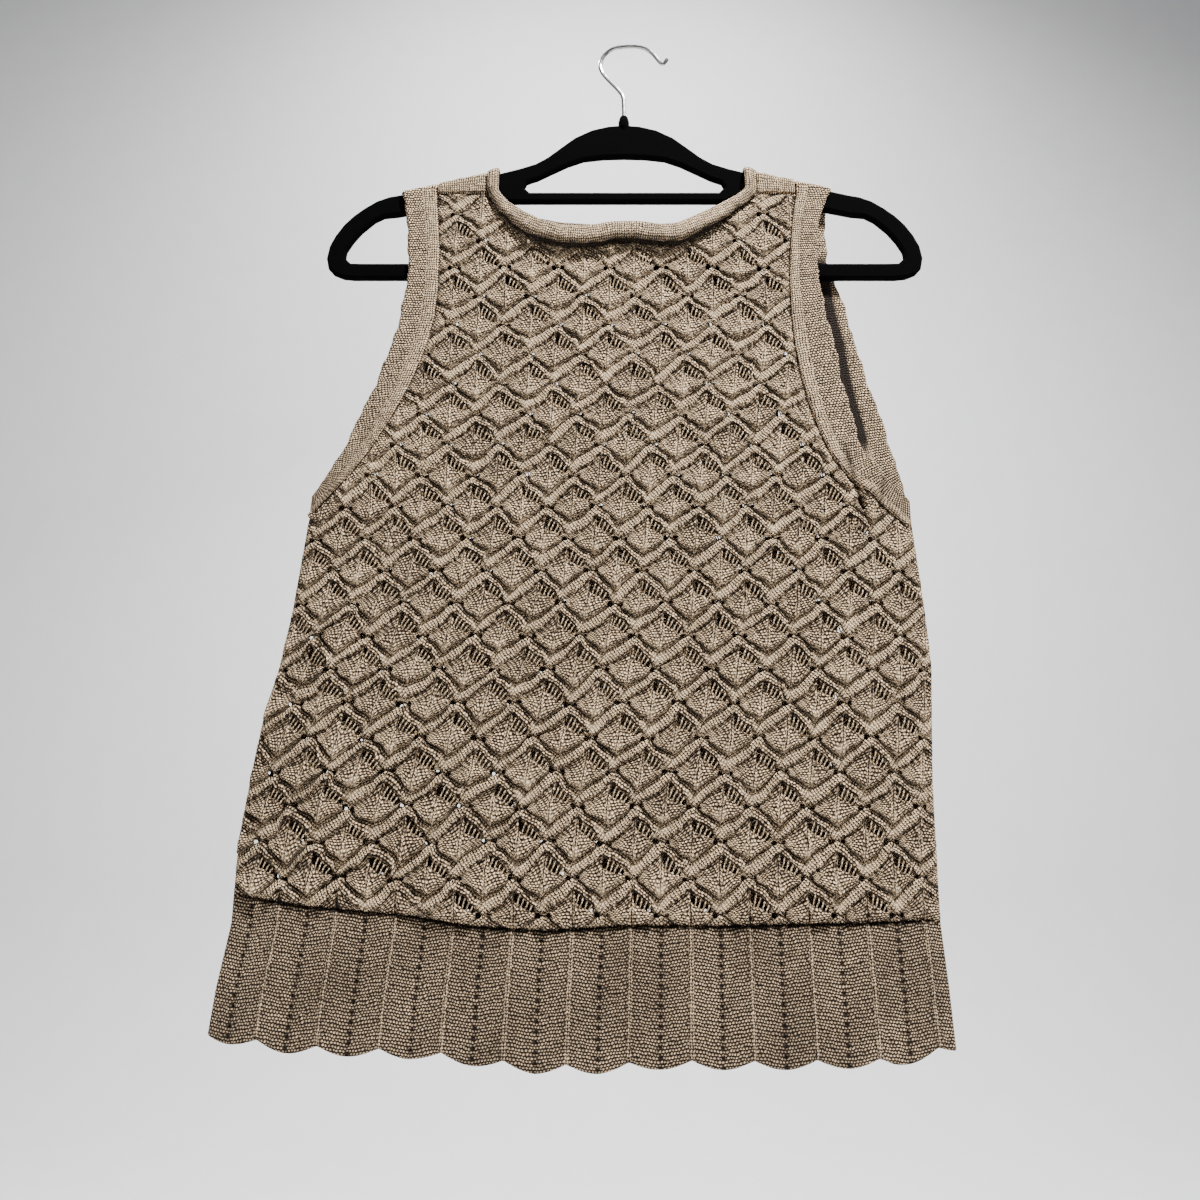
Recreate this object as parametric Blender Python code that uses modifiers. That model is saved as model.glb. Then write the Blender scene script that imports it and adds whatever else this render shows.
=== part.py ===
"""Openwork knit top hanging flat on a clothes hanger.

Frame: metres, +Z up, +X to the viewer's right, the front of the top faces -Y.
The origin is the inner crest of the hook, the point that rests on a peg or rail.

Each cloth piece is made flat, as a wall over its pattern outline, and then
draped: over the hanger's arms at the shoulders and straight down below them.
Flat coordinates are x, the height up the cloth, and the distance off the
plain inner face.
"""
from math import cos, hypot, pi, radians, sin

import bmesh
import bpy
from mathutils import Vector

for old in list(bpy.data.objects):
    bpy.data.objects.remove(old, do_unlink=True)

MM = 0.001

# ---------------------------------------------------------------- driving sizes
GAP = 0.3                 # clearance between pieces, mm
WALL = 2.4                # thickness of the knitted cloth, mm
NECK_WALL = 2.0           # thickness of the rolled neck band, mm
RIDGE_RISE = 2.6          # height of the lace's chevron ridges, mm
HEM_WAVE = 0.9            # height of the hem band's shallow flutes, mm

HANGER_HALF = 2.8         # half the thickness of the hanger body, mm
HANGER_EDGE = 2.2         # rounding of its edges, mm
WIRE_RADIUS = 1.5         # hook wire, mm
DRAPE_RADIUS = 3.6        # inner face of the cloth where it turns over an arm, mm
DRAPE_STEPS = 4           # stations in each quarter of that turn

STRIP_EDGE = -134.5       # lower edge of the shoulder strips, mm
HEM_GAP = 0.3             # seam between the lace and the hem band, mm
ROLL_HEIGHT = 17.0        # the rolled neck band, seam edge to top, mm
ROLL_STAND = 8.5          # how far the roll stands off the cloth, mm
NECK_SHORT = 0.4          # each half of the neck band ends this far from the ridge, mm
ROLL_HANG = 3.5           # how far the roll hangs past its seam, mm

# Lace: chevron rows, each shifted half a repeat from the one above.
CHEVRON_DROP = 13.0       # from an eyelet down to the point of the V, mm
RIDGE_DROP = 7.5          # from the V groove down to the ridge's lower edge, mm
LADDER_ALONG = 0.66       # share of the ridge's slope that the ladder gap takes
LADDER_DROP = 6.4         # height of the ladder gap, mm
LACE_ROWS = 22
LACE_COLUMNS = 18         # half repeats each side of the centre column
CUT_MARGIN = 13.0         # a gap's centre stays this far inside its panel, mm
FRONT_GAPS = 170
BACK_GAPS = 110
BACK_SHIFT = -10.0        # the back's columns lie this far from the front's, mm

# Heights of the eyelet rows, mm: every fifth row is given.
EYELET_ROW = (
    # row, height
    (-5, -83.5),
    (0, -195.8),
    (5, -313.5),
    (10, -428.6),
    (15, -542.1),
    (20, -652.9),
    (22, -697.0),
)
# How the lace's repeat spreads down the body, mm.
LACE_SPREAD = (
    # height, centre column, repeat
    (-80, -10.0, 38.6),
    (-245, -12.0, 38.4),
    (-385, -20.5, 35.0),
    (-450, -26.6, 35.6),
    (-497, -35.2, 36.2),
    (-542, -43.2, 36.9),
    (-586, -50.9, 37.1),
    (-631, -54.3, 37.2),
    (-660, -54.4, 37.2),
)
# Side edges of the body, seen from the front, mm. Above the armholes the
# lines run outward, so the cloth between the armholes stays parted.
SIDE_LINE = (
    # height, left, right
    (-100, -420, 420),
    (-300, -300, 300),
    (-390, -223, 200),
    (-457, -230, 205),
    (-495, -236, 206.5),
    (-525, -243.5, 204.5),
    (-568, -249.5, 201.5),
    (-609, -254, 200.5),
    (-660, -254.5, 199.5),
    (-700, -261, 202),
    (-750, -266, 204),
)
# Clear space from the mid plane to the cloth's inner face, mm.
BODY_DEPTH = (
    # height, depth
    (-100, 3.6),
    (-210, 3.6),
    (-270, 4.6),
    (-385, 6.2),
    (-520, 7.4),
    (-640, 8.4),
    (-750, 9.2),
)
# Folds that stand out from the body, mm and degrees; lean is from upright.
FOLDS = (
    # x, height, half length, half width, lean, rise, side (-1 front, 1 back)
    (172, -374, 44, 9, 24, 5.5, -1),
    (186, -520, 90, 10, 0, 2.6, -1),
    (-205, -480, 60, 12, -12, 2.4, -1),
    (-196, -560, 46, 11, -24, 2.2, -1),
    (-60, -640, 150, 14, 88, 2.6, -1),
    (110, -642, 90, 12, 90, 2.2, -1),
    (60, -470, 120, 16, 6, 2.2, 1),
    (-150, -540, 90, 14, -8, 2.6, 1),
    (0, -642, 190, 12, 90, 2.4, 1),
)
# The top edge of the hanger's arms, mm from its middle.
ARM_TOP = (
    # x, height
    (0, -71.8),
    (12, -72.8),
    (25, -76.2),
    (38, -83.0),
    (49, -92.0),
    (59, -100.4),
    (68, -106.0),
    (80, -110.2),
    (97, -115.0),
    (171, -133.3),
    (230, -148.0),
)
ARM_END = (
    # x, height, round the arm's end from the strap to the lower bar
    (171, -133.3),
    (179, -134.8),
    (188, -138.4),
    (197, -144.4),
    (205, -151.0),
    (212, -158.6),
    (218, -168.0),
    (222, -177.0),
    (223.5, -186.5),
    (221.6, -195.2),
    (217, -200.4),
    (210, -203.4),
    (202, -204.2),
)
WINDOW_HALF = (
    # x, height, the large window from the upper bar round to the lower bar
    (90, -139.7),
    (124, -140.6),
    (150, -146.2),
    (172, -151.0),
    (182, -152.0),
    (189, -156.0),
    (198, -164.6),
    (204, -172.6),
    (208.6, -181.0),
    (209.2, -187.0),
    (205, -191.0),
    (196, -191.2),
)
ARCH_HALF = (
    # x, height, the small window under the neck
    (0, -100.4),
    (16, -100.9),
    (31, -102.8),
    (43, -107.4),
    (54, -113.2),
    (66, -119.6),
    (74, -122.6),
    (76, -127.0),
    (72, -131.0),
)
NUB = (
    # radius, height, of the hook's collar, from its top down
    (1.9, -62.8),
    (3.2, -64.2),
    (4.2, -68.0),
    (4.2, -73.0),
    (1.8, -80.0),
)
HOOK_WIRE = (
    # x, height, of the wire's middle
    (0, -62.4),
    (0, -52),
    (-1.4, -42.5),
    (-9.5, -32.2),
    (-16.4, -23.4),
    (-18.4, -15.6),
    (-15.6, -7.2),
    (-8.6, -0.6),
    (0, 1.5),
    (9.0, 1.9),
    (17.6, -0.2),
    (24.0, -5.6),
    (28.4, -12.2),
    (31.6, -14.4),
    (34.6, -10.2),
)
# Armhole bands: the armhole's edge and the seam to the lace, mm. The first
# row is on the shoulder ridge, where "None" stands for the ridge's height.
LEFT_FRONT = (
    # edge x, edge height, seam x, seam height
    (-169, None, -142, None),
    (-168, STRIP_EDGE, -142, STRIP_EDGE),
    (-164, -158, -140, -156),
    (-161.5, -182, -138.5, -180),
    (-161.5, -208, -138, -208),
    (-165, -236, -139.5, -236),
    (-171.5, -264, -145, -262),
    (-180, -290, -154, -288),
    (-191, -318, -166, -314),
    (-201, -343, -179, -338),
    (-212, -362, -194, -360),
    (-221, -375, -222.7, -390),
)
RIGHT_FRONT = (
    (157, None, 130, None),
    (155.5, STRIP_EDGE, 130, STRIP_EDGE),
    (147.5, -154, 126.5, -154),
    (143.8, -178, 123.7, -178),
    (144, -205, 121.7, -207),
    (146.5, -228, 121.7, -232),
    (151.5, -252, 122.8, -258),
    (155.5, -283, 126.5, -287),
    (161, -312, 133, -315),
    (167, -340, 144, -344),
    (179, -360, 161, -369),
    (199, -378, 200.5, -399),
)
LEFT_BACK = (
    (-169, None, -142, None),
    (-167, STRIP_EDGE, -142, STRIP_EDGE),
    (-161, -158, -137, -156),
    (-157.5, -182, -134.5, -180),
    (-157.5, -208, -133.5, -208),
    (-161, -236, -135.5, -236),
    (-167.5, -264, -141, -262),
    (-176, -290, -150, -288),
    (-187, -318, -162, -314),
    (-198, -343, -176, -338),
    (-210, -362, -192, -360),
    (-221, -375, -222.7, -390),
)
RIGHT_BACK = (
    (157, None, 130, None),
    (155.5, STRIP_EDGE, 130, STRIP_EDGE),
    (153, -160, 128, -158),
    (153, -186, 128, -188),
    (159, -206, 132, -210),
    (166, -230, 139, -234),
    (172, -260, 146, -264),
    (180, -290, 154, -294),
    (188, -318, 164, -322),
    (193.5, -342, 172, -348),
    (198, -362, 183, -372),
    (200, -378, 200.5, -399),
)
# The seam between the lace and the neck band, from left to right, mm.
NECK_FRONT = (
    # x, height
    (-104, None),
    (-104, STRIP_EDGE),
    (-95, -150),
    (-83, -163),
    (-68, -173.3),
    (-50, -178.6),
    (-30, -180),
    (-10, -176),
    (10, -175.4),
    (28, -178.6),
    (42, -177),
    (56, -170.4),
    (69, -161.5),
    (81, -152),
    (91, -143.6),
    (100, STRIP_EDGE),
    (100, None),
)
NECK_BACK = (
    (-104, None),
    (-104, STRIP_EDGE),
    (-93, -148),
    (-76, -158),
    (-50, -164.6),
    (-17, -167),
    (17, -167),
    (48, -164),
    (74, -157),
    (90, -147),
    (100, STRIP_EDGE),
    (100, None),
)
# The seam between the lace and the hem band.
HEM_SEAM = (
    # x, height
    (-254.5, -641),
    (-226, -646),
    (-190, -650),
    (-141, -654),
    (-100, -660.5),
    (-51, -663.5),
    (0, -660),
    (58, -660.5),
    (130, -659),
    (199.5, -657.5),
)
# The scallops' round lobes hang to this line; the notches between lie above it.
HEM_LINE = (
    # x, height
    (-266, -729),
    (-206, -735),
    (-128, -738),
    (-58, -746),
    (-19, -746),
    (17, -743.6),
    (84, -744),
    (162, -742.6),
    (204, -736),
)
SCALLOP = 5.2             # depth of a scallop, mm

KNIT_COLOUR = (0.376, 0.262, 0.171)
BAND_COLOUR = (0.402, 0.286, 0.190)
VELVET_COLOUR = (0.010, 0.010, 0.011)
WIRE_COLOUR = (0.62, 0.62, 0.60)

FRONT = -1
BACK = 1


# ------------------------------------------------------------------ small tools
def read(table, at, column=1):
    """Value of a table's column at a place along its first one, eased between rows."""
    rows = sorted(table, key=lambda row: row[0])
    if at <= rows[0][0]:
        return rows[0][column]
    for low, high in zip(rows, rows[1:]):
        if at <= high[0]:
            share = (at - low[0]) / (high[0] - low[0])
            return low[column] + (high[column] - low[column]) * share
    return rows[-1][column]


def soften(share):
    share = min(1.0, max(0.0, share))
    return share * share * (3 - 2 * share)


def ridge_centre(x):
    """Height of the middle of the turn that the cloth makes over an arm."""
    return read(ARM_TOP, abs(x)) + GAP - DRAPE_RADIUS


def ridge_height(x):
    """Flat height of the shoulder ridge, up the cloth and over the turn."""
    return ridge_centre(x) + DRAPE_RADIUS * pi / 2


def fold_rise(x, height, side):
    rise = 0.0
    for fold_x, fold_height, half_length, half_width, lean, top, fold_side in FOLDS:
        if fold_side != side:
            continue
        along_x, along_z = sin(radians(lean)), cos(radians(lean))
        run_x, run_z = x - fold_x, height - fold_height
        along = (run_x * along_x + run_z * along_z) / half_length
        across = (run_x * along_z - run_z * along_x) / half_width
        if abs(along) < 1 and abs(across) < 2:
            rise += top * (1 - along * along) * soften(1 - abs(across) / 2)
    return rise


def depth(x, height, side):
    """Clear space between the mid plane and the cloth's inner face."""
    left = read(SIDE_LINE, height, 1)
    right = read(SIDE_LINE, height, 2)
    inset = min(x - left, right - x)
    opened = sin(pi / 2 * min(1.0, max(0.0, inset / 62)))
    hem_fade = soften((height + 662) / 14)
    swell = fold_rise(x, height, side) * soften(inset / 14) * hem_fade
    return GAP / 2 + (read(BODY_DEPTH, height) - GAP / 2) * opened + swell


def drape(x, height, out, side):
    """Place a flat point on the hung garment, out of the inner face by out."""
    centre = ridge_centre(x)
    if height <= centre:
        return Vector((x, side * (depth(x, height, side) + out), height)) * MM
    turn = min((height - centre) / DRAPE_RADIUS, pi)
    radius = DRAPE_RADIUS + out
    past = (height - centre) - turn * DRAPE_RADIUS
    return Vector((x, side * radius * cos(turn), centre + radius * sin(turn) - past)) * MM


def finish(name, base, roughness, metallic=0.0):
    material = bpy.data.materials.new(name)
    material.use_nodes = True
    shader = material.node_tree.nodes["Principled BSDF"]
    shader.inputs["Base Color"].default_value = (*base, 1.0)
    shader.inputs["Roughness"].default_value = roughness
    shader.inputs["Metallic"].default_value = metallic
    return material


model = bpy.data.collections.new("openwork_knit_top")
patterns = bpy.data.collections.new("pattern_cutters")
bpy.context.scene.collection.children.link(model)
bpy.context.scene.collection.children.link(patterns)


def add_object(name, mesh, material=None, collection=model):
    piece = bpy.data.objects.new(name, mesh)
    collection.objects.link(piece)
    if material:
        mesh.materials.append(material)
    return piece


def applied(piece):
    """The object's mesh as its modifiers make it, with the object removed."""
    graph = bpy.context.evaluated_depsgraph_get()
    mesh = bpy.data.meshes.new_from_object(piece.evaluated_get(graph))
    mesh.transform(piece.matrix_world)
    bpy.data.objects.remove(piece, do_unlink=True)
    return mesh


def flat_wall(corners, faces, thickness):
    """A flat sheet in X and Z, its plain face at Y = 0, thickened by Solidify."""
    mesh = bpy.data.meshes.new("sheet")
    mesh.from_pydata([Vector(corner) * MM for corner in corners], [], faces)
    sheet = add_object("sheet", mesh)
    solidify = sheet.modifiers.new("thickness", "SOLIDIFY")
    solidify.thickness = thickness * MM
    solidify.offset = 1.0
    solidify.use_even_offset = True
    return sheet


def draped_piece(name, sheet, side, material, relief=None):
    """Apply a flat wall, raise its outer points and hang it on its side."""
    mesh = applied(sheet)
    mesh.name = name
    mesh.materials.clear()
    shape = bmesh.new()
    shape.from_mesh(mesh)
    bmesh.ops.remove_doubles(shape, verts=shape.verts, dist=0.00001)
    bmesh.ops.triangulate(shape, faces=shape.faces, quad_method="FIXED")
    for vert in shape.verts:
        x, out, height = vert.co.x / MM, abs(vert.co.y) / MM, vert.co.z / MM
        if relief and out > WALL / 2:
            out += relief(x, height)
        vert.co = drape(x, height, out, side)
    if shape.calc_volume(signed=True) < 0:
        bmesh.ops.reverse_faces(shape, faces=shape.faces)
    shape.to_mesh(mesh)
    shape.free()
    return add_object(name, mesh, material)


# ------------------------------------------------------------------ the hanger
def mirrored_outline(half):
    """A closed outline from its right half, top middle to bottom middle."""
    left = [(-x, height) for x, height in reversed(half) if x > 0]
    return list(half) + left


def outline_spline(curve, outline):
    spline = curve.splines.new("POLY")
    spline.points.add(len(outline) - 1)
    for point, (x, height) in zip(spline.points, outline):
        point.co = (x * MM, height * MM, 0, 1)
    spline.use_cyclic_u = True


def smoothed(path, steps):
    """A path through the given points, rounded by Catmull-Rom spans."""
    points = []
    padded = [path[0], *path, path[-1]]
    for before, start, end, after in zip(padded, padded[1:], padded[2:], padded[3:]):
        for step in range(steps):
            t = step / steps
            points.append(tuple(
                0.5 * (2 * b + (c - a) * t + (2 * a - 5 * b + 4 * c - d) * t * t
                       + (3 * b - a - 3 * c + d) * t ** 3)
                for a, b, c, d in zip(before, start, end, after)))
    points.append(path[-1])
    return points


def flat_plate(name, outlines, half_thickness, edge):
    """Filled 2D curve, stood upright, as a closed mesh."""
    curve = bpy.data.curves.new(name, "CURVE")
    curve.dimensions = "2D"
    curve.fill_mode = "BOTH"
    curve.extrude = (half_thickness - edge) * MM
    curve.bevel_depth = edge * MM
    curve.bevel_resolution = 1
    curve.offset = -edge * MM
    for outline in outlines:
        outline_spline(curve, outline)
    plate = add_object(name, curve)
    plate.rotation_euler = (pi / 2, 0, 0)
    bpy.context.view_layer.update()
    mesh = applied(plate)
    shape = bmesh.new()
    shape.from_mesh(mesh)
    bmesh.ops.remove_doubles(shape, verts=shape.verts, dist=0.00001)
    bmesh.ops.recalc_face_normals(shape, faces=shape.faces)
    shape.to_mesh(mesh)
    shape.free()
    return mesh


def arm_outline():
    top = [row for row in ARM_TOP if row[0] < 171]
    return mirrored_outline([*top, *ARM_END])


def add_hanger():
    velvet = finish("black_velvet", VELVET_COLOUR, 0.95)
    outlines = [arm_outline(), mirrored_outline(WINDOW_HALF), mirrored_outline(ARCH_HALF)]
    body = add_object("hanger_body", flat_plate("hanger", outlines, HANGER_HALF, HANGER_EDGE))

    profile = bpy.data.meshes.new("collar_profile")
    rows = [(0, NUB[0][1]), *NUB, (0, NUB[-1][1])]
    profile.from_pydata([(radius * MM, 0, height * MM) for radius, height in rows],
                        [(i, i + 1) for i in range(len(rows) - 1)], [])
    collar = add_object("collar", profile, collection=patterns)
    turn = collar.modifiers.new("turn", "SCREW")
    turn.steps = 16
    turn.render_steps = 16
    turn.use_merge_vertices = True
    turn.merge_threshold = 0.00001
    collar.hide_render = True
    collar.display_type = "WIRE"
    join = body.modifiers.new("collar", "BOOLEAN")
    join.operation = "UNION"
    join.object = collar
    mesh = applied(body)
    bpy.data.objects.remove(collar, do_unlink=True)
    mesh.materials.clear()
    add_object("hanger_body", mesh, velvet)

    wire = bpy.data.curves.new("hanger_hook", "CURVE")
    wire.dimensions = "3D"
    wire.bevel_depth = WIRE_RADIUS * MM
    wire.bevel_resolution = 2
    wire.use_fill_caps = True
    spline = wire.splines.new("POLY")
    route = smoothed(HOOK_WIRE, 2)
    spline.points.add(len(route) - 1)
    for point, (x, height) in zip(spline.points, route):
        point.co = (x * MM, 0, height * MM, 1)
    add_object("hanger_hook", wire, finish("bright_wire", WIRE_COLOUR, 0.25, 1.0))


# ------------------------------------------------------------------ lace panels
def lace_centre(height, side):
    return read(LACE_SPREAD, height, 1) + (BACK_SHIFT if side == BACK else 0)


def column_x(column, height, side):
    """Where a half repeat lies. Both panels are knitted alike, so the back's runs the other way."""
    return lace_centre(height, side) - side * read(LACE_SPREAD, height, 2) * column / 2


def groove_height(row, column):
    """The V groove: high at its eyelets and low at its point."""
    at_eyelet = (row + column) % 2 == 0
    return read(EYELET_ROW, row) - (0 if at_eyelet else CHEVRON_DROP)


def groove(row, column, side):
    height = groove_height(row, column)
    return (column_x(column, height, side), height)


def under_ridge(row, column, side):
    """The lower edge of the ridge, under an eyelet."""
    x, height = groove(row, column, side)
    return (x, height - RIDGE_DROP)


def between(start, end, share):
    return (start[0] + (end[0] - start[0]) * share, start[1] + (end[1] - start[1]) * share)


def inside_by(point, outline):
    """Distance from a point to the outline, positive inside it."""
    x, z = point
    nearest = 1e9
    inside = False
    for (x1, z1), (x2, z2) in zip(outline, outline[1:] + outline[:1]):
        run = hypot(x2 - x1, z2 - z1)
        share = ((x - x1) * (x2 - x1) + (z - z1) * (z2 - z1)) / (run * run)
        share = min(1.0, max(0.0, share))
        nearest = min(nearest, hypot(x1 + (x2 - x1) * share - x, z1 + (z2 - z1) * share - z))
        if (z1 > z) != (z2 > z) and x < x1 + (z - z1) / (z2 - z1) * (x2 - x1):
            inside = not inside
    return nearest if inside else -nearest


def cut_fans(outline, most, side):
    """The lace fans whose ladder gap is cut, spread evenly over the panel."""
    fans = []
    for row in range(-4, LACE_ROWS):
        for column in range(-LACE_COLUMNS + 1, LACE_COLUMNS - 1):
            if (row + column) % 2 and inside_by(groove(row, column, side), outline) > CUT_MARGIN:
                if inside_by(under_ridge(row - 1, column, side), outline) > CUT_MARGIN:
                    fans.append((row, column))
    keep = min(most, len(fans))
    return {fans[int(index * len(fans) / keep)] for index in range(keep)}


def lace_sheet(outline, most, side):
    """The lattice of ridges and fans as one flat sheet with its gaps left out."""
    corners = []
    numbers = {}
    faces = []

    def corner(key, point):
        if key not in numbers:
            numbers[key] = len(corners)
            corners.append((point[0], 0, point[1]))
        return numbers[key]

    gaps = cut_fans(outline, most, side)
    for row in range(-4, LACE_ROWS):
        for column in range(-LACE_COLUMNS, LACE_COLUMNS):
            left = corner(("groove", row, column), groove(row, column, side))
            right = corner(("groove", row, column + 1), groove(row, column + 1, side))
            rises_left = (row + column) % 2 == 0
            peak = column if rises_left else column + 1
            foot = column + 1 if rises_left else column
            under_peak = corner(("under", row, peak), under_ridge(row, peak, side))
            under_foot = corner(("groove", row + 1, foot), groove(row + 1, foot, side))
            if rises_left and (row + 1, peak) in gaps:
                near = ladder_corner(corner, row, peak, side, "near")
                faces.append([left, right, under_foot, near, under_peak])
            elif rises_left:
                faces.append([left, right, under_foot, under_peak])
            else:
                faces.append([left, right, under_peak, under_foot])
        for column in range(-LACE_COLUMNS + 1, LACE_COLUMNS):
            if (row + column) % 2:
                continue
            top = corner(("under", row, column), under_ridge(row, column, side))
            right, left, point = (
                corner(("groove", row + 1, place), groove(row + 1, place, side))
                for place in (column + 1, column - 1, column))
            if (row + 1, column) not in gaps:
                faces.extend([[top, right, point], [top, point, left]])
                continue
            near = ladder_corner(corner, row, column, side, "near")
            far = ladder_corner(corner, row, column, side, "far")
            below = ladder_corner(corner, row, column, side, "below")
            faces.extend([[top, below, left], [below, point, left], [below, far, point],
                          [far, right, point], [far, near, right]])
    return corners, faces


def ladder_corner(corner, row, column, side, place):
    """Corners of the ladder gap under the ridge, right of the spine as that side is worn."""
    top = under_ridge(row, column, side)
    near = between(top, groove(row + 1, column + 1, side), LADDER_ALONG)
    point = {"near": near, "far": (near[0] + side * 0.6, near[1] - LADDER_DROP),
             "below": (top[0], top[1] - LADDER_DROP)}[place]
    return corner((place, row, column), point)


def lace_relief(x, height, side):
    """Height of the knit off its plain back: each ridge stands over the fan below."""
    across = (x - lace_centre(height, side)) / read(LACE_SPREAD, height, 2) * 2
    rise = 0.0
    for row in range(-4, LACE_ROWS + 1):
        swing = 1 - abs((across + row) % 2 - 1)
        below = read(EYELET_ROW, row) - CHEVRON_DROP * swing - height
        if 0 < below <= RIDGE_DROP:
            return RIDGE_RISE * below / RIDGE_DROP * (1 - swing)
        if below > RIDGE_DROP:
            rise = RIDGE_RISE * max(0.0, 1 - (below - RIDGE_DROP) / 20) * (1 - swing)
    return rise


def lace_outline(left_band, right_band, neck):
    """The lace's own edge: sides, hem seam, armholes, shoulder strips and neck."""
    outline = [(row[2], row[3]) for row in left_band[1:]]
    sides = [row[0] for row in SIDE_LINE if -641 < row[0] < -390]
    outline += [(read(SIDE_LINE, height, 1), height) for height in sides]
    outline += [(x, height + HEM_GAP / 2) for x, height in HEM_SEAM]
    outline += [(read(SIDE_LINE, height, 2), height) for height in reversed(sides)
                if height < right_band[-1][3] - 4]
    outline += [(row[2], row[3]) for row in reversed(right_band[1:])]
    outline += [(x, height) for x, height in reversed(neck[1:-1])]
    return outline


def add_lace(name, side, outline, most, colour):
    corners, faces = lace_sheet(outline, most, side)
    sheet = flat_wall(corners, faces, WALL)

    curve = bpy.data.curves.new(name + "_pattern", "CURVE")
    curve.dimensions = "2D"
    curve.fill_mode = "BOTH"
    curve.extrude = 3 * WALL * MM
    outline_spline(curve, outline)
    pattern = add_object(name + "_pattern", curve, collection=patterns)
    pattern.rotation_euler = (pi / 2, 0, 0)
    bpy.context.view_layer.update()
    mesh = applied(pattern)
    shape = bmesh.new()
    shape.from_mesh(mesh)
    bmesh.ops.remove_doubles(shape, verts=shape.verts, dist=0.00001)
    bmesh.ops.recalc_face_normals(shape, faces=shape.faces)
    shape.to_mesh(mesh)
    shape.free()
    cutter = add_object(name + "_pattern", mesh, collection=patterns)
    cutter.hide_render = True
    cutter.display_type = "WIRE"

    trim = sheet.modifiers.new("trim", "BOOLEAN")
    trim.operation = "INTERSECT"
    trim.object = cutter
    piece = draped_piece(name, sheet, side, colour, lambda x, z: lace_relief(x, z, side))
    bpy.data.objects.remove(cutter, do_unlink=True)
    return piece


# ------------------------------------------------------------ bands and strips
def ribbon(name, side, first, second, shares, colour, relief=None, thickness=WALL):
    """A wall between two edges that are given point by point."""
    corners = []
    for (x1, z1), (x2, z2) in zip(first, second):
        corners += [(x1 + (x2 - x1) * share, 0, z1 + (z2 - z1) * share) for share in shares]
    wide = len(shares)
    faces = []
    for row in range(len(first) - 1):
        for step in range(wide - 1):
            start = row * wide + step
            faces.append([start, start + 1, start + wide + 1, start + wide])
    sheet = flat_wall(corners, faces, thickness)
    return draped_piece(name, sheet, side, colour, relief)


def clear_of(seam, edge, gap):
    """A seam point moved towards the edge point by the seam's gap."""
    run = hypot(edge[0] - seam[0], edge[1] - seam[1])
    return between(seam, edge, gap / run)


def turns():
    """Angles down one side of the turn over an arm, foot first, ridge last."""
    return [pi / 2 * (DRAPE_STEPS - step) / DRAPE_STEPS for step in range(DRAPE_STEPS + 1)]


def over_arm(ridge_x, line, short=GAP / 2):
    """A line with its stations over the arm put first, ending short of the ridge."""
    turned = [(ridge_x, ridge_height(ridge_x) - DRAPE_RADIUS * turn) for turn in turns()]
    turned[-1] = (ridge_x, turned[-1][1] - short)
    return turned[::-1] + line


def add_armhole_band(name, side, table, colour):
    edges = over_arm(table[0][0], [(row[0], row[1]) for row in table[1:]])
    seams = over_arm(table[0][2], [(row[2], row[3]) for row in table[1:]])
    seams = [clear_of(seam, edge, GAP) for seam, edge in zip(seams, edges)]
    if edges[0][0] < 0:
        edges, seams = seams, edges
    return ribbon(name, side, edges, seams, (0, 0.5, 1), colour)


def add_shoulder_strip(name, armhole_x, neck_x, colour):
    """A strip over the arm, from the front lace up and down to the back lace."""
    lines = []
    for x in (min(armhole_x, neck_x) + GAP, max(armhole_x, neck_x) - GAP):
        ridge = ridge_height(x)
        front = [(x, STRIP_EDGE + GAP)]
        front += [(x, ridge - DRAPE_RADIUS * turn) for turn in turns()]
        back = [(x, 2 * ridge - height) for _, height in reversed(front[:-1])]
        lines.append(front + back)
    return ribbon(name, FRONT, lines[0], lines[1], (0, 0.5, 1), colour)


def hem_bottom(x):
    """The scalloped lower edge: a round lobe at each eyelet column, notches between."""
    across = (x - read(LACE_SPREAD, -660, 1)) / read(LACE_SPREAD, -660, 2)
    return read(HEM_LINE, x) + SCALLOP * (1 - abs(cos(pi * across)))


def hem_relief(x, height):
    across = (x - read(LACE_SPREAD, -660, 1)) / read(LACE_SPREAD, -660, 2)
    return HEM_WAVE * (0.5 - 0.5 * cos(2 * pi * across))


def add_hem_band(name, side, colour):
    low_left = read(SIDE_LINE, -745, 1)
    low_right = read(SIDE_LINE, -745, 2)
    top_left, top_right = HEM_SEAM[0][0], HEM_SEAM[-1][0]
    steps = 50
    top, bottom = [], []
    for step in range(steps + 1):
        share = step / steps
        x = top_left + (top_right - top_left) * share
        top.append((x, read(HEM_SEAM, x) - HEM_GAP / 2))
        x = low_left + (low_right - low_left) * share
        bottom.append((x, hem_bottom(x)))
    return ribbon(name, side, bottom, top, (0, 0.5, 1), colour, hem_relief)


# ------------------------------------------------------------------- neck band
def roll_section(height, stand):
    """Middle line of the curled band: off its seam, up, over and down outside."""
    radius = (stand - NECK_WALL) / 2
    top = height - ROLL_HANG - radius - NECK_WALL / 2
    path = [(0.0, 0.0), (-top * 0.5, 0.0), (-top, 0.0)]
    for step in range(1, 5):
        turn = pi * step / 4
        path.append((-top - radius * sin(turn), radius * (1 - cos(turn))))
    curl = 1.9
    path.append((ROLL_HANG - curl - NECK_WALL / 2, 2 * radius))
    path.append((ROLL_HANG - NECK_WALL / 2, 2 * radius - curl * 0.8))
    return path


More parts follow.
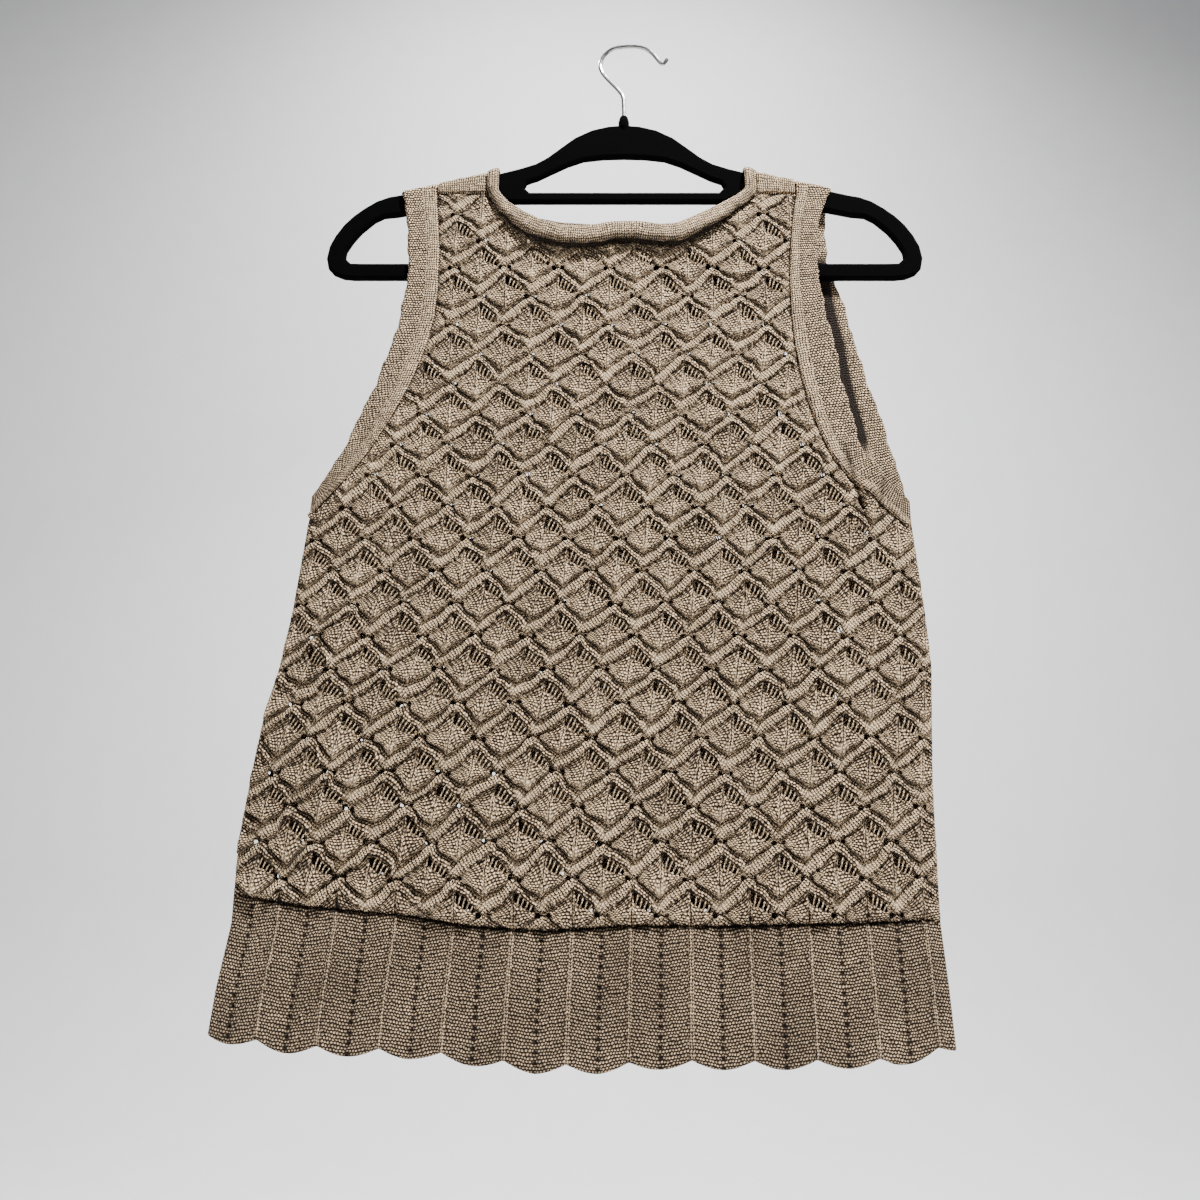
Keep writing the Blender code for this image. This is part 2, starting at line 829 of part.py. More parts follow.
def add_neck_band(name, side, table, colour):
    seam = over_arm(table[0][0], list(table[1:-1]), NECK_SHORT)
    seam += over_arm(table[-1][0], [], NECK_SHORT)[::-1]
    corners = []
    last = len(seam) - 1
    for index, (x, height) in enumerate(seam):
        before, after = seam[max(index - 1, 0)], seam[min(index + 1, last)]
        run = hypot(after[0] - before[0], after[1] - before[1])
        out_x, out_z = (after[1] - before[1]) / run, -(after[0] - before[0]) / run
        on_arm = soften((height - STRIP_EDGE + 4) / 12)
        roll = roll_section(ROLL_HEIGHT - 1.5 * on_arm, ROLL_STAND - 2.6 * on_arm)
        for reach, rise in roll:
            place = x + out_x * (reach - GAP)
            level = height + out_z * (reach - GAP)
            level += on_arm * (ridge_height(place) - ridge_height(x))
            corners.append((place, -(rise + NECK_WALL / 2), level))
    wide = len(roll)
    faces = []
    for station in range(last):
        for step in range(wide - 1):
            start = station * wide + step
            faces.append([start, start + 1, start + wide + 1, start + wide])
    mesh = bpy.data.meshes.new("roll")
    mesh.from_pydata([Vector(corner) * MM for corner in corners], [], faces)
    sheet = add_object("roll", mesh)
    solidify = sheet.modifiers.new("thickness", "SOLIDIFY")
    solidify.thickness = NECK_WALL * MM
    solidify.offset = 0.0
    return draped_piece(name, sheet, side, colour)


# --------------------------------------------------------------------- assembly
add_hanger()

front_outline = lace_outline(LEFT_FRONT, RIGHT_FRONT, NECK_FRONT)
back_outline = lace_outline(LEFT_BACK, RIGHT_BACK, NECK_BACK)
add_lace("front_panel", FRONT, front_outline, FRONT_GAPS, finish("front_lace", KNIT_COLOUR, 0.9))
add_lace("back_panel", BACK, back_outline, BACK_GAPS, finish("back_lace", KNIT_COLOUR, 0.9))

for band_name, band_side, band_table in (
        ("armhole_band_left_front", FRONT, LEFT_FRONT),
        ("armhole_band_right_front", FRONT, RIGHT_FRONT),
        ("armhole_band_left_back", BACK, LEFT_BACK),
        ("armhole_band_right_back", BACK, RIGHT_BACK)):
    add_armhole_band(band_name, band_side, band_table, finish(band_name, BAND_COLOUR, 0.88))

add_shoulder_strip("shoulder_strip_left", LEFT_FRONT[0][2], NECK_FRONT[0][0],
                   finish("shoulder_left", BAND_COLOUR, 0.88))
add_shoulder_strip("shoulder_strip_right", RIGHT_FRONT[0][2], NECK_FRONT[-1][0],
                   finish("shoulder_right", BAND_COLOUR, 0.88))

add_neck_band("neck_band_front", FRONT, NECK_FRONT, finish("neck_front", BAND_COLOUR, 0.88))
add_neck_band("neck_band_back", BACK, NECK_BACK, finish("neck_back", BAND_COLOUR, 0.88))

add_hem_band("hem_band_front", FRONT, finish("hem_front", BAND_COLOUR, 0.88))
add_hem_band("hem_band_back", BACK, finish("hem_back", BAND_COLOUR, 0.88))
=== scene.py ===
from math import atan2, cos, hypot, pi, radians, sin

import bmesh
import bpy
import numpy as np
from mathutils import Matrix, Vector


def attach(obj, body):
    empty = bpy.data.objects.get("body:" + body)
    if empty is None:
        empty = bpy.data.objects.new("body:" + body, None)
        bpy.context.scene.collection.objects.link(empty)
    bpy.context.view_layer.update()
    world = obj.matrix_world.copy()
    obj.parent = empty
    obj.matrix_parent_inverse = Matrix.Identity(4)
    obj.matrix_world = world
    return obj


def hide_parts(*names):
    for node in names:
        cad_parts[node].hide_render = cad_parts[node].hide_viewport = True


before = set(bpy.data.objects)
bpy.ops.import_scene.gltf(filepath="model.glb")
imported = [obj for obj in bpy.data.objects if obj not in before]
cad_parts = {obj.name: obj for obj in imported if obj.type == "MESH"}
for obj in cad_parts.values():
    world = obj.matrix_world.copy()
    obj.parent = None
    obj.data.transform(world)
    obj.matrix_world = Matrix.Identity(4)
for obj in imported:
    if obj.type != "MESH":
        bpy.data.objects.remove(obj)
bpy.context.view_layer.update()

# ---- hanger body
# A flat moulded hanger with two windows, covered all over in short black flock.
# The flock is blown on to wet glue, so it is dead matt. The faint grey where its
# pile stands across the light is painted sheen, mixed in by noise.
FLOCK_BLACK = (0.0006, 0.0006, 0.0007)
FLOCK_SHEEN = (0.0022, 0.0022, 0.0025)


def colour_mix(tree, share, first, second, blend="MIX"):
    """Two colours mixed by share; each is a colour or another step's result."""
    mix = tree.nodes.new("ShaderNodeMix")
    mix.data_type = "RGBA"
    mix.blend_type = blend
    share_in, first_in, second_in = mix.inputs[0], mix.inputs[6], mix.inputs[7]
    for socket, value in ((share_in, share), (first_in, first), (second_in, second)):
        if isinstance(value, (int, float)):
            socket.default_value = value
        elif isinstance(value, tuple):
            socket.default_value = (*value, 1.0)
        else:
            tree.links.new(value, socket)
    return mix.outputs[2]


def grain(tree, size, detail=3.0):
    """Noise over the object, with features of about size metres."""
    place = tree.nodes.new("ShaderNodeTexCoord")
    noise = tree.nodes.new("ShaderNodeTexNoise")
    noise.inputs["Scale"].default_value = 1.0 / size
    noise.inputs["Detail"].default_value = detail
    tree.links.new(place.outputs["Object"], noise.inputs["Vector"])
    return noise.outputs["Fac"]


def add_bump(tree, height, strength, rise):
    """Fine relief on the finish, rise metres deep."""
    bump = tree.nodes.new("ShaderNodeBump")
    bump.inputs["Strength"].default_value = strength
    bump.inputs["Distance"].default_value = rise
    tree.links.new(height, bump.inputs["Height"])
    tree.links.new(bump.outputs["Normal"], tree.nodes["Principled BSDF"].inputs["Normal"])


def new_material(name, roughness):
    """A plain finish to build on: the material, its nodes and its shader."""
    material = bpy.data.materials.new(name)
    material.use_nodes = True
    shader = material.node_tree.nodes["Principled BSDF"]
    shader.inputs["Roughness"].default_value = roughness
    return material, material.node_tree, shader


velvet, tree, shader = new_material("black_flock", 1.0)
pile = grain(tree, 0.0009)
# the grey mixed into the black by noise is painted sheen
tree.links.new(colour_mix(tree, pile, FLOCK_BLACK, FLOCK_SHEEN), shader.inputs["Base Color"])
shader.inputs["Sheen Weight"].default_value = 0.008
shader.inputs["Sheen Roughness"].default_value = 0.5
shader.inputs["Specular IOR Level"].default_value = 0.01
add_bump(tree, pile, 0.35, 0.0003)
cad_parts["hanger_body"].material_slots[0].material = velvet

# ---- hanger hook
# Three millimetre steel wire, bent to an open hook and plated bright. It stands
# in the hanger's collar. The plating is a little dulled where rails rub it.
PLATE_BRIGHT = (0.66, 0.66, 0.65)
PLATE_DULL = (0.42, 0.42, 0.42)


def math_step(tree, operation, *values, clamp=False):
    """One sum in a material; a value is a number or another step's result."""
    step = tree.nodes.new("ShaderNodeMath")
    step.operation = operation
    step.use_clamp = clamp
    for socket, value in zip(step.inputs, values):
        if isinstance(value, (int, float)):
            socket.default_value = value
        else:
            tree.links.new(value, socket)
    return step.outputs[0]


plated, tree, shader = new_material("plated_wire", 0.2)
rub = grain(tree, 0.004)
tree.links.new(colour_mix(tree, rub, PLATE_BRIGHT, PLATE_DULL), shader.inputs["Base Color"])
tree.links.new(math_step(tree, "MULTIPLY_ADD", rub, 0.22, 0.1), shader.inputs["Roughness"])
shader.inputs["Metallic"].default_value = 1.0
add_bump(tree, grain(tree, 0.0006), 0.08, 0.0001)
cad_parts["hanger_hook"].material_slots[0].material = plated

# ---- lace panels
# The front and the back are each knitted flat in one piece, in cotton yarn, as
# rows of chevron ridges over purl fans. Every fan hangs from a pair of eyelets,
# and a short ladder of dropped strands opens on the right of its spine.
MM = 0.001  # the cloth's sizes are in millimetres
FRONT, BACK = -1, 1  # the way that a side faces, along y
GAP = 0.3  # clear space between pieces at a seam
DRAPE_RADIUS = 3.6  # bend of the cloth over the hanger's arms
HALF_REPEAT = 18.4  # half the width of one fan
ROW_HEIGHT = 23.0  # from one row of eyelets to the next, about
CHEVRON_DROP = 13.0  # fall of a ridge from its peak to its valley
RIDGE_DROP, VALLEY_DROP = 7.5, 9.7  # height of a ridge at its peak and its valley
FAN_FOOT = 22.7  # from a peak's eyelets to the foot of its ridge in a valley
FAN_LENGTH = 25.0  # knitted length down a fan
LACE_FLOOR = 0.9  # the lace's lowest face off the cloth's inner side
LACE_TUCK = 1.9  # how far the lace runs in under its bands
EYELET_REACH = 3.4  # from a peak to each of its two eyelets
EYELET_RADIUS, EYELET_RADIUS_BACK = 1.5, 1.0
LADDER_START, LADDER_END, LADDER_END_BACK = 0.04, 0.7, 0.54  # shares of the half repeat
LADDER_DEEP, LADDER_SHALLOW = 7.8, 3.6
LADDER_CLEAR, EYELET_CLEAR = 4.0, 3.0  # least lace left round a ladder or an eyelet
SPINE_REACH, VALLEY_REACH = 1.2, 13.5  # a fan is smooth within the one and past the other
LADDER_BARS = 4
YARN_RADIUS = 0.5
LACE_ROWS, LACE_COLUMNS = range(-4, 21), range(-16, 17)
EYELET_ROW = (
    # row, height
    (-5, -83.5), (0, -195.8), (5, -313.5), (10, -428.6), (15, -542.1), (20, -652.9), (22, -697.0),
)
LACE_SPREAD = (
    # height, middle column's x, width of a repeat
    (-80, -10.0, 38.6), (-245, -12.0, 38.4), (-385, -20.5, 35.0), (-450, -26.6, 35.6),
    (-497, -35.2, 36.2), (-542, -43.2, 36.9), (-586, -50.9, 37.1), (-631, -54.3, 37.2),
    (-660, -54.4, 37.2),
)
SIDE_LINE = (
    # height, left x, right x
    (-100, -420, 420), (-300, -300, 300), (-390, -223, 200), (-457, -230, 205),
    (-495, -236, 206.5), (-525, -243.5, 204.5), (-568, -249.5, 201.5), (-609, -254, 200.5),
    (-660, -254.5, 199.5), (-700, -261, 202), (-750, -266, 204),
)
BODY_DEPTH = (
    # height, clear space from the mid plane
    (-100, 3.6), (-210, 3.6), (-270, 4.6), (-385, 6.2), (-520, 7.4), (-640, 8.4), (-750, 9.2),
)
FOLDS = (
    # x, height, half length, half width, lean, rise, side
    (171, -368, 38, 7, 20, 6.0, -1), (186, -520, 90, 10, 0, 2.6, -1),
    (-205, -480, 60, 12, -12, 2.4, -1), (-196, -560, 46, 11, -24, 2.2, -1),
    (-60, -640, 150, 14, 88, 2.6, -1), (110, -642, 90, 12, 90, 2.2, -1),
    (60, -470, 120, 16, 6, 2.2, 1), (-150, -540, 90, 14, -8, 2.6, 1),
    (0, -642, 190, 12, 90, 2.4, 1),
)
CREASES = (
    # from x, height, to x, height, half width, strength, side
    (155, -338, 164, -388, 2.2, 1.0, -1), (181, -352, 176, -392, 1.8, 0.7, -1),
    (-243, -618, -150, -634, 3.0, 0.45, -1), (-196, -436, -214, -508, 2.6, 0.4, -1),
    (-120, -585, -60, -624, 2.6, 0.4, -1), (190, -430, 183, -520, 2.6, 0.4, -1),
    (-180, -400, -140, -470, 2.6, 0.5, 1), (165, -395, 120, -450, 2.6, 0.5, 1),
    (-60, -628, 70, -640, 3.0, 0.4, 1),
)
ARM_TOP = (
    # x either way from the hook, height of the hanger's arm
    (0, -71.8), (12, -72.8), (25, -76.2), (38, -83.0), (49, -92.0), (59, -100.4),
    (68, -106.0), (80, -110.2), (97, -115.0), (171, -133.3), (230, -148.0),
)
# Armholes: edge x, edge height, seam x, seam height. None is the shoulder ridge.
LEFT_FRONT = (
    (-169, None, -142, None), (-168, -134.5, -142, -134.5), (-164, -158, -140, -156),
    (-161.5, -182, -138.5, -180), (-161.5, -208, -138, -208), (-165, -236, -139.5, -236),
    (-171.5, -264, -145, -262), (-180, -290, -154, -288), (-191, -318, -166, -314),
    (-201, -343, -179, -338), (-212, -362, -194, -360), (-221, -375, -222.7, -390),
)
RIGHT_FRONT = (
    (157, None, 130, None), (155.5, -134.5, 130, -134.5), (147.5, -154, 126.5, -154),
    (143.8, -178, 123.7, -178), (144, -205, 121.7, -207), (146.5, -228, 121.7, -232),
    (151.5, -252, 122.8, -258), (155.5, -283, 126.5, -287), (161, -312, 133, -315),
    (167, -340, 144, -344), (179, -360, 161, -369), (199, -378, 200.5, -399),
)
LEFT_BACK = (
    (-169, None, -142, None), (-167, -134.5, -142, -134.5), (-161, -158, -137, -156),
    (-157.5, -182, -134.5, -180), (-157.5, -208, -133.5, -208), (-161, -236, -135.5, -236),
    (-167.5, -264, -141, -262), (-176, -290, -150, -288), (-187, -318, -162, -314),
    (-198, -343, -176, -338), (-210, -362, -192, -360), (-221, -375, -222.7, -390),
)
RIGHT_BACK = (
    (157, None, 130, None), (155.5, -134.5, 130, -134.5), (153, -160, 128, -158),
    (153, -186, 128, -188), (159, -206, 132, -210), (166, -230, 139, -234),
    (172, -260, 146, -264), (180, -290, 154, -294), (188, -318, 164, -322),
    (193.5, -342, 172, -348), (198, -362, 183, -372), (200, -378, 200.5, -399),
)
NECK_FRONT = (
    # seam x, seam height
    (-104, None), (-104, -134.5), (-95, -150), (-83, -163), (-68, -173.3), (-50, -178.6),
    (-30, -180), (-10, -176), (10, -175.4), (28, -178.6), (42, -177), (56, -170.4),
    (69, -161.5), (81, -152), (91, -143.6), (100, -134.5), (100, None),
)
NECK_BACK = (
    (-104, None), (-104, -134.5), (-93, -148), (-76, -158), (-50, -164.6), (-17, -167),
    (17, -167), (48, -164), (74, -157), (90, -147), (100, -134.5), (100, None),
)
HEM_SEAM = (
    # x, height
    (-254.5, -641), (-226, -646), (-190, -650), (-141, -654), (-100, -660.5),
    (-51, -663.5), (0, -660), (58, -660.5), (130, -659), (199.5, -657.5),
)
HEM_REPEAT = 37.2  # from one of the hem's chains to the next
HEM_LEVEL = -660.0  # height at which the hem takes up the lace's columns
# painted shade for the gaps between stitches, the yarn's own colour, and painted highlight for the
# stitches' tops
YARN_GAP_SHADE = (0.016, 0.010, 0.007)
YARN_BODY = (0.205, 0.127, 0.070)
YARN_HIGHLIGHT = (0.980, 0.745, 0.475)
BACK_SHIFT = -10.0  # the back's middle column lies this far left
FRONT_COLUMNS, FRONT_RIDGE_ROWS, FRONT_FAN_ROWS = 16, 8, 13
BACK_COLUMNS, BACK_RIDGE_ROWS, BACK_FAN_ROWS = 12, 6, 9


def read(table, at, column=1):
    """A table's column at a place between its rows."""
    rows = sorted(table, key=lambda row: row[0])
    return np.interp(at, [row[0] for row in rows], [row[column] for row in rows])


def soften(share):
    """A smooth step from 0 to 1."""
    share = np.clip(share, 0.0, 1.0)
    return share * share * (3 - 2 * share)


def uneven(x, z, size, turn):
    """Smooth hand-made unevenness from -1 to 1, in waves of about size mm."""
    k = 2 * pi / size
    total = np.sin(k * (x + 0.37 * z) + turn)
    total = total + np.sin(k * (0.81 * z - 0.42 * x) * 1.27 + 2.1 * turn)
    total = total + 0.7 * np.sin(k * (1.31 * x - 0.66 * z) * 1.63 + 3.7 * turn)
    return total / 2.7


def scatter(row, column, turn):
    """A fixed pick from 0 to 1 for each fan."""
    return np.modf(np.abs(np.sin(row * 127.1 + column * 311.7 + turn * 74.7) * 43758.5453))[0]


def ridge_centre(x):
    """Height of the middle of the cloth's bend over the hanger's arm."""
    return read(ARM_TOP, np.abs(x)) + GAP - DRAPE_RADIUS


def ridge_height(x):
    """Flat height of the shoulder ridge, half way round that bend."""
    return ridge_centre(x) + DRAPE_RADIUS * pi / 2


def side_inset(x, z):
    """Distance in from the nearer side of the body."""
    return np.minimum(x - read(SIDE_LINE, z, 1), read(SIDE_LINE, z, 2) - x)


def crease(x, z, side):
    """How deep a point lies in the sharp creases beside the soft folds, 0 to 1."""
    deep = np.zeros_like(x)
    for x1, z1, x2, z2, wide, strong, crease_side in CREASES:
        if crease_side != side:
            continue
        run_x, run_z = x2 - x1, z2 - z1
        share = ((x - x1) * run_x + (z - z1) * run_z) / (run_x * run_x + run_z * run_z)
        away = np.abs((x - x1) * run_z - (z - z1) * run_x) / np.hypot(run_x, run_z)
        fade = soften(share * 5 + 0.5) * soften((1 - share) * 5 + 0.5)
        deep = np.maximum(deep, strong * fade * np.exp(-(away / wide) ** 2))
    return deep


def depth(x, z, side):
    """Clear space from the mid plane to the cloth's inner face."""
    inset = side_inset(x, z)
    swell = np.zeros_like(x)
    for fold_x, fold_z, half_length, half_width, lean, rise, fold_side in FOLDS:
        if fold_side != side:
            continue
        along_x, along_z = sin(radians(lean)), cos(radians(lean))
        along = ((x - fold_x) * along_x + (z - fold_z) * along_z) / half_length
        across = ((x - fold_x) * along_z - (z - fold_z) * along_x) / half_width
        swell += rise * np.clip(1 - along * along, 0, 1) * soften(1 - np.abs(across) / 2)
    opened = np.sin(pi / 2 * np.clip(inset / 62, 0, 1))
    plain = GAP / 2 + (read(BODY_DEPTH, z) - GAP / 2) * opened
    swell = swell * (1 - crease(x, z, side))
    return plain + swell * soften(inset / 14) * soften((z + 662) / 14)


def drape(x, z, out, side):
    """Hang flat points on the garment, out of its inner face, in metres."""
    centre = ridge_centre(x)
    level = depth(x, z, side) + out
    edge = np.clip(side_inset(x, z) / 3.0, 0, 1)
    level = level * np.sqrt(np.clip(1 - (1 - edge) ** 2, 0, 1))
    turn = np.clip((z - centre) / DRAPE_RADIUS, 0, pi)
    past = np.maximum(z - centre - turn * DRAPE_RADIUS, 0)
    reach = DRAPE_RADIUS + out
    over = z > centre
    y = np.where(over, side * reach * np.cos(turn), side * level)
    height = np.where(over, centre + reach * np.sin(turn) - past, z)
    return np.stack([x, y, height], axis=-1) * MM


def distance_inside(x, z, outline):
    """Distance to a closed outline, positive inside, with the nearest point."""
    best = np.full(x.shape, 1e9)
    near_x, near_z = x.copy(), z.copy()
    inside = np.zeros(x.shape, bool)
    for (x1, z1), (x2, z2) in zip(outline, outline[1:] + outline[:1]):
        run_x, run_z = x2 - x1, z2 - z1
        long = run_x * run_x + run_z * run_z
        if long < 1e-9:
            continue
        share = np.clip(((x - x1) * run_x + (z - z1) * run_z) / long, 0, 1)
        at_x, at_z = x1 + share * run_x, z1 + share * run_z
        away = np.hypot(x - at_x, z - at_z)
        closer = away < best
        best = np.where(closer, away, best)
        near_x, near_z = np.where(closer, at_x, near_x), np.where(closer, at_z, near_z)
        if z1 != z2:
            crosses = (z1 > z) != (z2 > z)
            inside ^= crosses & (x < x1 + (z - z1) / run_z * run_x)
    return np.where(inside, best, -best), near_x, near_z


def lace_outline(left_band, right_band, neck):
    """A panel's edge: armhole, side, hem, side, armhole and neck."""
    outline = [(row[2], row[3]) for row in left_band[1:]]
    sides = [row[0] for row in SIDE_LINE if -641 < row[0] < -390]
    outline += [(float(read(SIDE_LINE, z, 1)), z) for z in sides]
    outline += list(HEM_SEAM)
    outline += [(float(read(SIDE_LINE, z, 2)), z) for z in reversed(sides)
                if z < right_band[-1][3] - 4]
    outline += [(row[2], row[3]) for row in reversed(right_band[1:])]
    outline += list(reversed(neck[1:-1]))
    return outline


def make_piece(name, points, faces, stitch, plain, shade, material):
    """A mesh with its stitch directions, kind of stitch, and painted shade and highlight."""
    mesh = bpy.data.meshes.new(name)
    mesh.from_pydata(points.tolist(), [], faces.tolist())
    layer = mesh.uv_layers.new(name="stitch")
    layer.data.foreach_set("uv", stitch.astype(np.float32).ravel())
    for kind, domain, values in (("plain", "FACE", plain), ("shade", "POINT", shade)):
        marks = mesh.attributes.new(kind, "FLOAT", domain)
        marks.data.foreach_set("value", values.astype(np.float32))
    mesh.materials.append(material)
    mesh.polygons.foreach_set("use_smooth", np.ones(len(mesh.polygons), bool))
    shape = bmesh.new()
    shape.from_mesh(mesh)
    bmesh.ops.remove_doubles(shape, verts=shape.verts, dist=0.00002)
    loose = [vert for vert in shape.verts if not vert.link_faces]
    bmesh.ops.delete(shape, geom=loose, context="VERTS")
    shape.to_mesh(mesh)
    shape.free()
    piece = bpy.data.objects.new(name, mesh)
    bpy.context.scene.collection.objects.link(piece)
    return piece


def knit_material(name, gap_shade, body, highlight, stitch_rise, gauge):
    """Cotton yarn: plain stitches show as V legs, purl ones as rows of bumps,
    with painted shade in the gaps between them and painted highlight on their tops.
    """
    material, tree, shader = new_material(name, 0.9)
    uv = tree.nodes.new("ShaderNodeUVMap")
    uv.uv_map = "stitch"
    split = tree.nodes.new("ShaderNodeSeparateXYZ")
    tree.links.new(uv.outputs[0], split.inputs[0])
    wobble = math_step(tree, "MULTIPLY_ADD", grain(tree, 0.0045, 2.0), 2.4, -1.2)
    across = math_step(tree, "ADD", split.outputs[0], wobble)
    along = math_step(tree, "ADD", split.outputs[1], wobble)

    wale = math_step(tree, "FRACT", math_step(tree, "DIVIDE", across, 1.7 * gauge))
    leg = math_step(tree, "ABSOLUTE", math_step(tree, "SUBTRACT", wale, 0.5))
    leg = math_step(tree, "MULTIPLY", leg, 2.0)
    phase = math_step(tree, "MULTIPLY_ADD", leg, 0.6, math_step(tree, "DIVIDE", along, 2.0))
    wave = math_step(tree, "COSINE", math_step(tree, "MULTIPLY", phase, 2 * pi))
    vee = math_step(tree, "MULTIPLY_ADD", wave, 0.5, 0.5)
    edge = math_step(tree, "SUBTRACT", 1.0, math_step(tree, "POWER", leg, 3.0))
    knit = math_step(tree, "MULTIPLY", math_step(tree, "MULTIPLY_ADD", vee, 0.6, 0.4), edge)

    row = math_step(tree, "DIVIDE", along, 1.95 * gauge)
    offset = math_step(tree, "MULTIPLY", math_step(tree, "FLOOR", row), 0.5)
    bead = math_step(tree, "ADD", math_step(tree, "DIVIDE", across, 1.9 * gauge), offset)
    wave = math_step(tree, "COSINE", math_step(tree, "MULTIPLY", bead, 2 * pi))
    bead = math_step(tree, "MULTIPLY_ADD", wave, 0.3, 0.7)
    wave = math_step(tree, "SINE", math_step(tree, "MULTIPLY", row, pi))
    band = math_step(tree, "ABSOLUTE", wave)
    purl = math_step(tree, "MULTIPLY", bead, band)

    kind = tree.nodes.new("ShaderNodeAttribute")
    kind.attribute_name = "plain"
    shade = tree.nodes.new("ShaderNodeAttribute")
    shade.attribute_name = "shade"
    chosen = tree.nodes.new("ShaderNodeMix")
    chosen.data_type = "FLOAT"
    tree.links.new(kind.outputs["Fac"], chosen.inputs[0])
    tree.links.new(purl, chosen.inputs[2])
    tree.links.new(knit, chosen.inputs[3])
    height = chosen.outputs[0]

    # the ramp paints shade into the gaps and highlight on the stitches' tops
    ramp = tree.nodes.new("ShaderNodeValToRGB")
    ramp.color_ramp.elements[0].position = 0.28
    ramp.color_ramp.elements[0].color = (*gap_shade, 1.0)
    ramp.color_ramp.elements[1].position = 0.74
    ramp.color_ramp.elements[1].color = (*highlight, 1.0)
    middle = ramp.color_ramp.elements.new(0.51)
    middle.color = (*body, 1.0)
    tree.links.new(height, ramp.inputs[0])
    strand = math_step(tree, "MULTIPLY", grain(tree, 0.003, 2.0), 1.9)
    patch = math_step(tree, "MULTIPLY_ADD", grain(tree, 0.03), 0.5, 0.8)
    patchy = math_step(tree, "MULTIPLY", strand, patch)
    yarn = colour_mix(tree, 1.0, ramp.outputs[0], patchy, "MULTIPLY")
    # painted light: shade above 0 is painted shade, darkening towards the gap colour;
    # below 0 is painted highlight, brightening towards the highlight colour
    painted_shade_share = math_step(tree, "MULTIPLY", shade.outputs["Fac"], 0.9, clamp=True)
    painted_highlight_share = math_step(tree, "MULTIPLY", shade.outputs["Fac"], -0.9, clamp=True)
    highlighted_yarn = colour_mix(tree, painted_highlight_share, yarn, colour_mix(tree, 0.55, yarn, highlight))
    tree.links.new(colour_mix(tree, painted_shade_share, highlighted_yarn, YARN_GAP_SHADE), shader.inputs["Base Color"])
    shader.inputs["Sheen Weight"].default_value = 0.03
    shader.inputs["Sheen Roughness"].default_value = 0.6
    shader.inputs["Specular IOR Level"].default_value = 0.1
    add_bump(tree, height, 1.0, stitch_rise)
    return material


def lace_centre(z, side):
    """Where a panel's middle column of fans runs."""
    return read(LACE_SPREAD, z, 1) + (BACK_SHIFT if side == BACK else 0)


def column_x(column, z, side):
    """Both panels are knitted alike, so the back's columns run the other way."""
    return lace_centre(z, side) - side * read(LACE_SPREAD, z, 2) * column / 2


def eyelet_row_near(z):
    """The row of eyelets nearest a height."""
    heights = [row[1] for row in EYELET_ROW][::-1]
    return np.round(np.interp(z, heights, [row[0] for row in EYELET_ROW][::-1]))


def eyelet_near(x, z, side):
    """Place and size of the eyelet nearest a point; each peak has a pair."""
    row = eyelet_row_near(z)
    level = read(EYELET_ROW, row)
    begin, pitch = lace_centre(level, side), read(LACE_SPREAD, level, 2)
    column = 2 * np.round((-side * (x - begin) / pitch * 2 + row) / 2) - row
    centre = begin - side * pitch * column / 2
    right = x > centre
    hole_x = centre + np.where(right, EYELET_REACH, -EYELET_REACH)
    hole_z = level - 1.1
    radius = EYELET_RADIUS if side == FRONT else EYELET_RADIUS_BACK
    size = np.where(right == (side == FRONT), 0.85, 1.1) * radius
    return hole_x, hole_z, size * (0.85 + 0.35 * scatter(row, column, 2.0))


def row_sway(across, row):
    """The rows' own rise and fall, as the cloth isn't pulled out straight."""
    x, z = HALF_REPEAT * across, ROW_HEIGHT * row
    return 1.8 * uneven(x, z, 41, 1.1) + 1.2 * uneven(x, z, 19, 2.6)


def ladder_outline(side):
    """The ladder gap's corners right of the spine, from a fan's own top."""
    x1 = LADDER_START * HALF_REPEAT
    x2 = (LADDER_END if side == FRONT else LADDER_END_BACK) * HALF_REPEAT
    slope = (FAN_FOOT - RIDGE_DROP) / HALF_REPEAT
    return [(x1, -x1 * slope - 0.5), (x2, -x2 * slope - 0.5),
            (x2 - 0.8, -x2 * slope - LADDER_SHALLOW), (x1, -x1 * slope - LADDER_DEEP)]


def open_ladders(side, outline):
    """Rows and columns of the fans whose whole ladder lies clear of the edges."""
    found = []
    for row in LACE_ROWS:
        columns = np.array([c for c in LACE_COLUMNS if (row + c) % 2 == 0], float)
        clear = np.full(len(columns), 1e9)
        for at_x, at_z in ladder_outline(side):
            z = np.full(len(columns), float(read(EYELET_ROW, row)) - RIDGE_DROP + at_z)
            x = column_x(columns, z, side) - side * at_x
            clear = np.minimum(clear, distance_inside(x, z, outline)[0])
            clear = np.minimum(clear, side_inset(x, z))
        found += list(row * 100 + columns[clear > LADDER_CLEAR])
    return np.array(found)


def grid_faces(shape):
    """Faces between the neighbouring points of a grid."""
    index = np.arange(shape[0] * shape[1]).reshape(shape)
    faces = np.stack([index[:-1, :-1], index[:-1, 1:], index[1:, 1:], index[1:, :-1]], axis=-1)
    return faces.reshape(-1, 4)


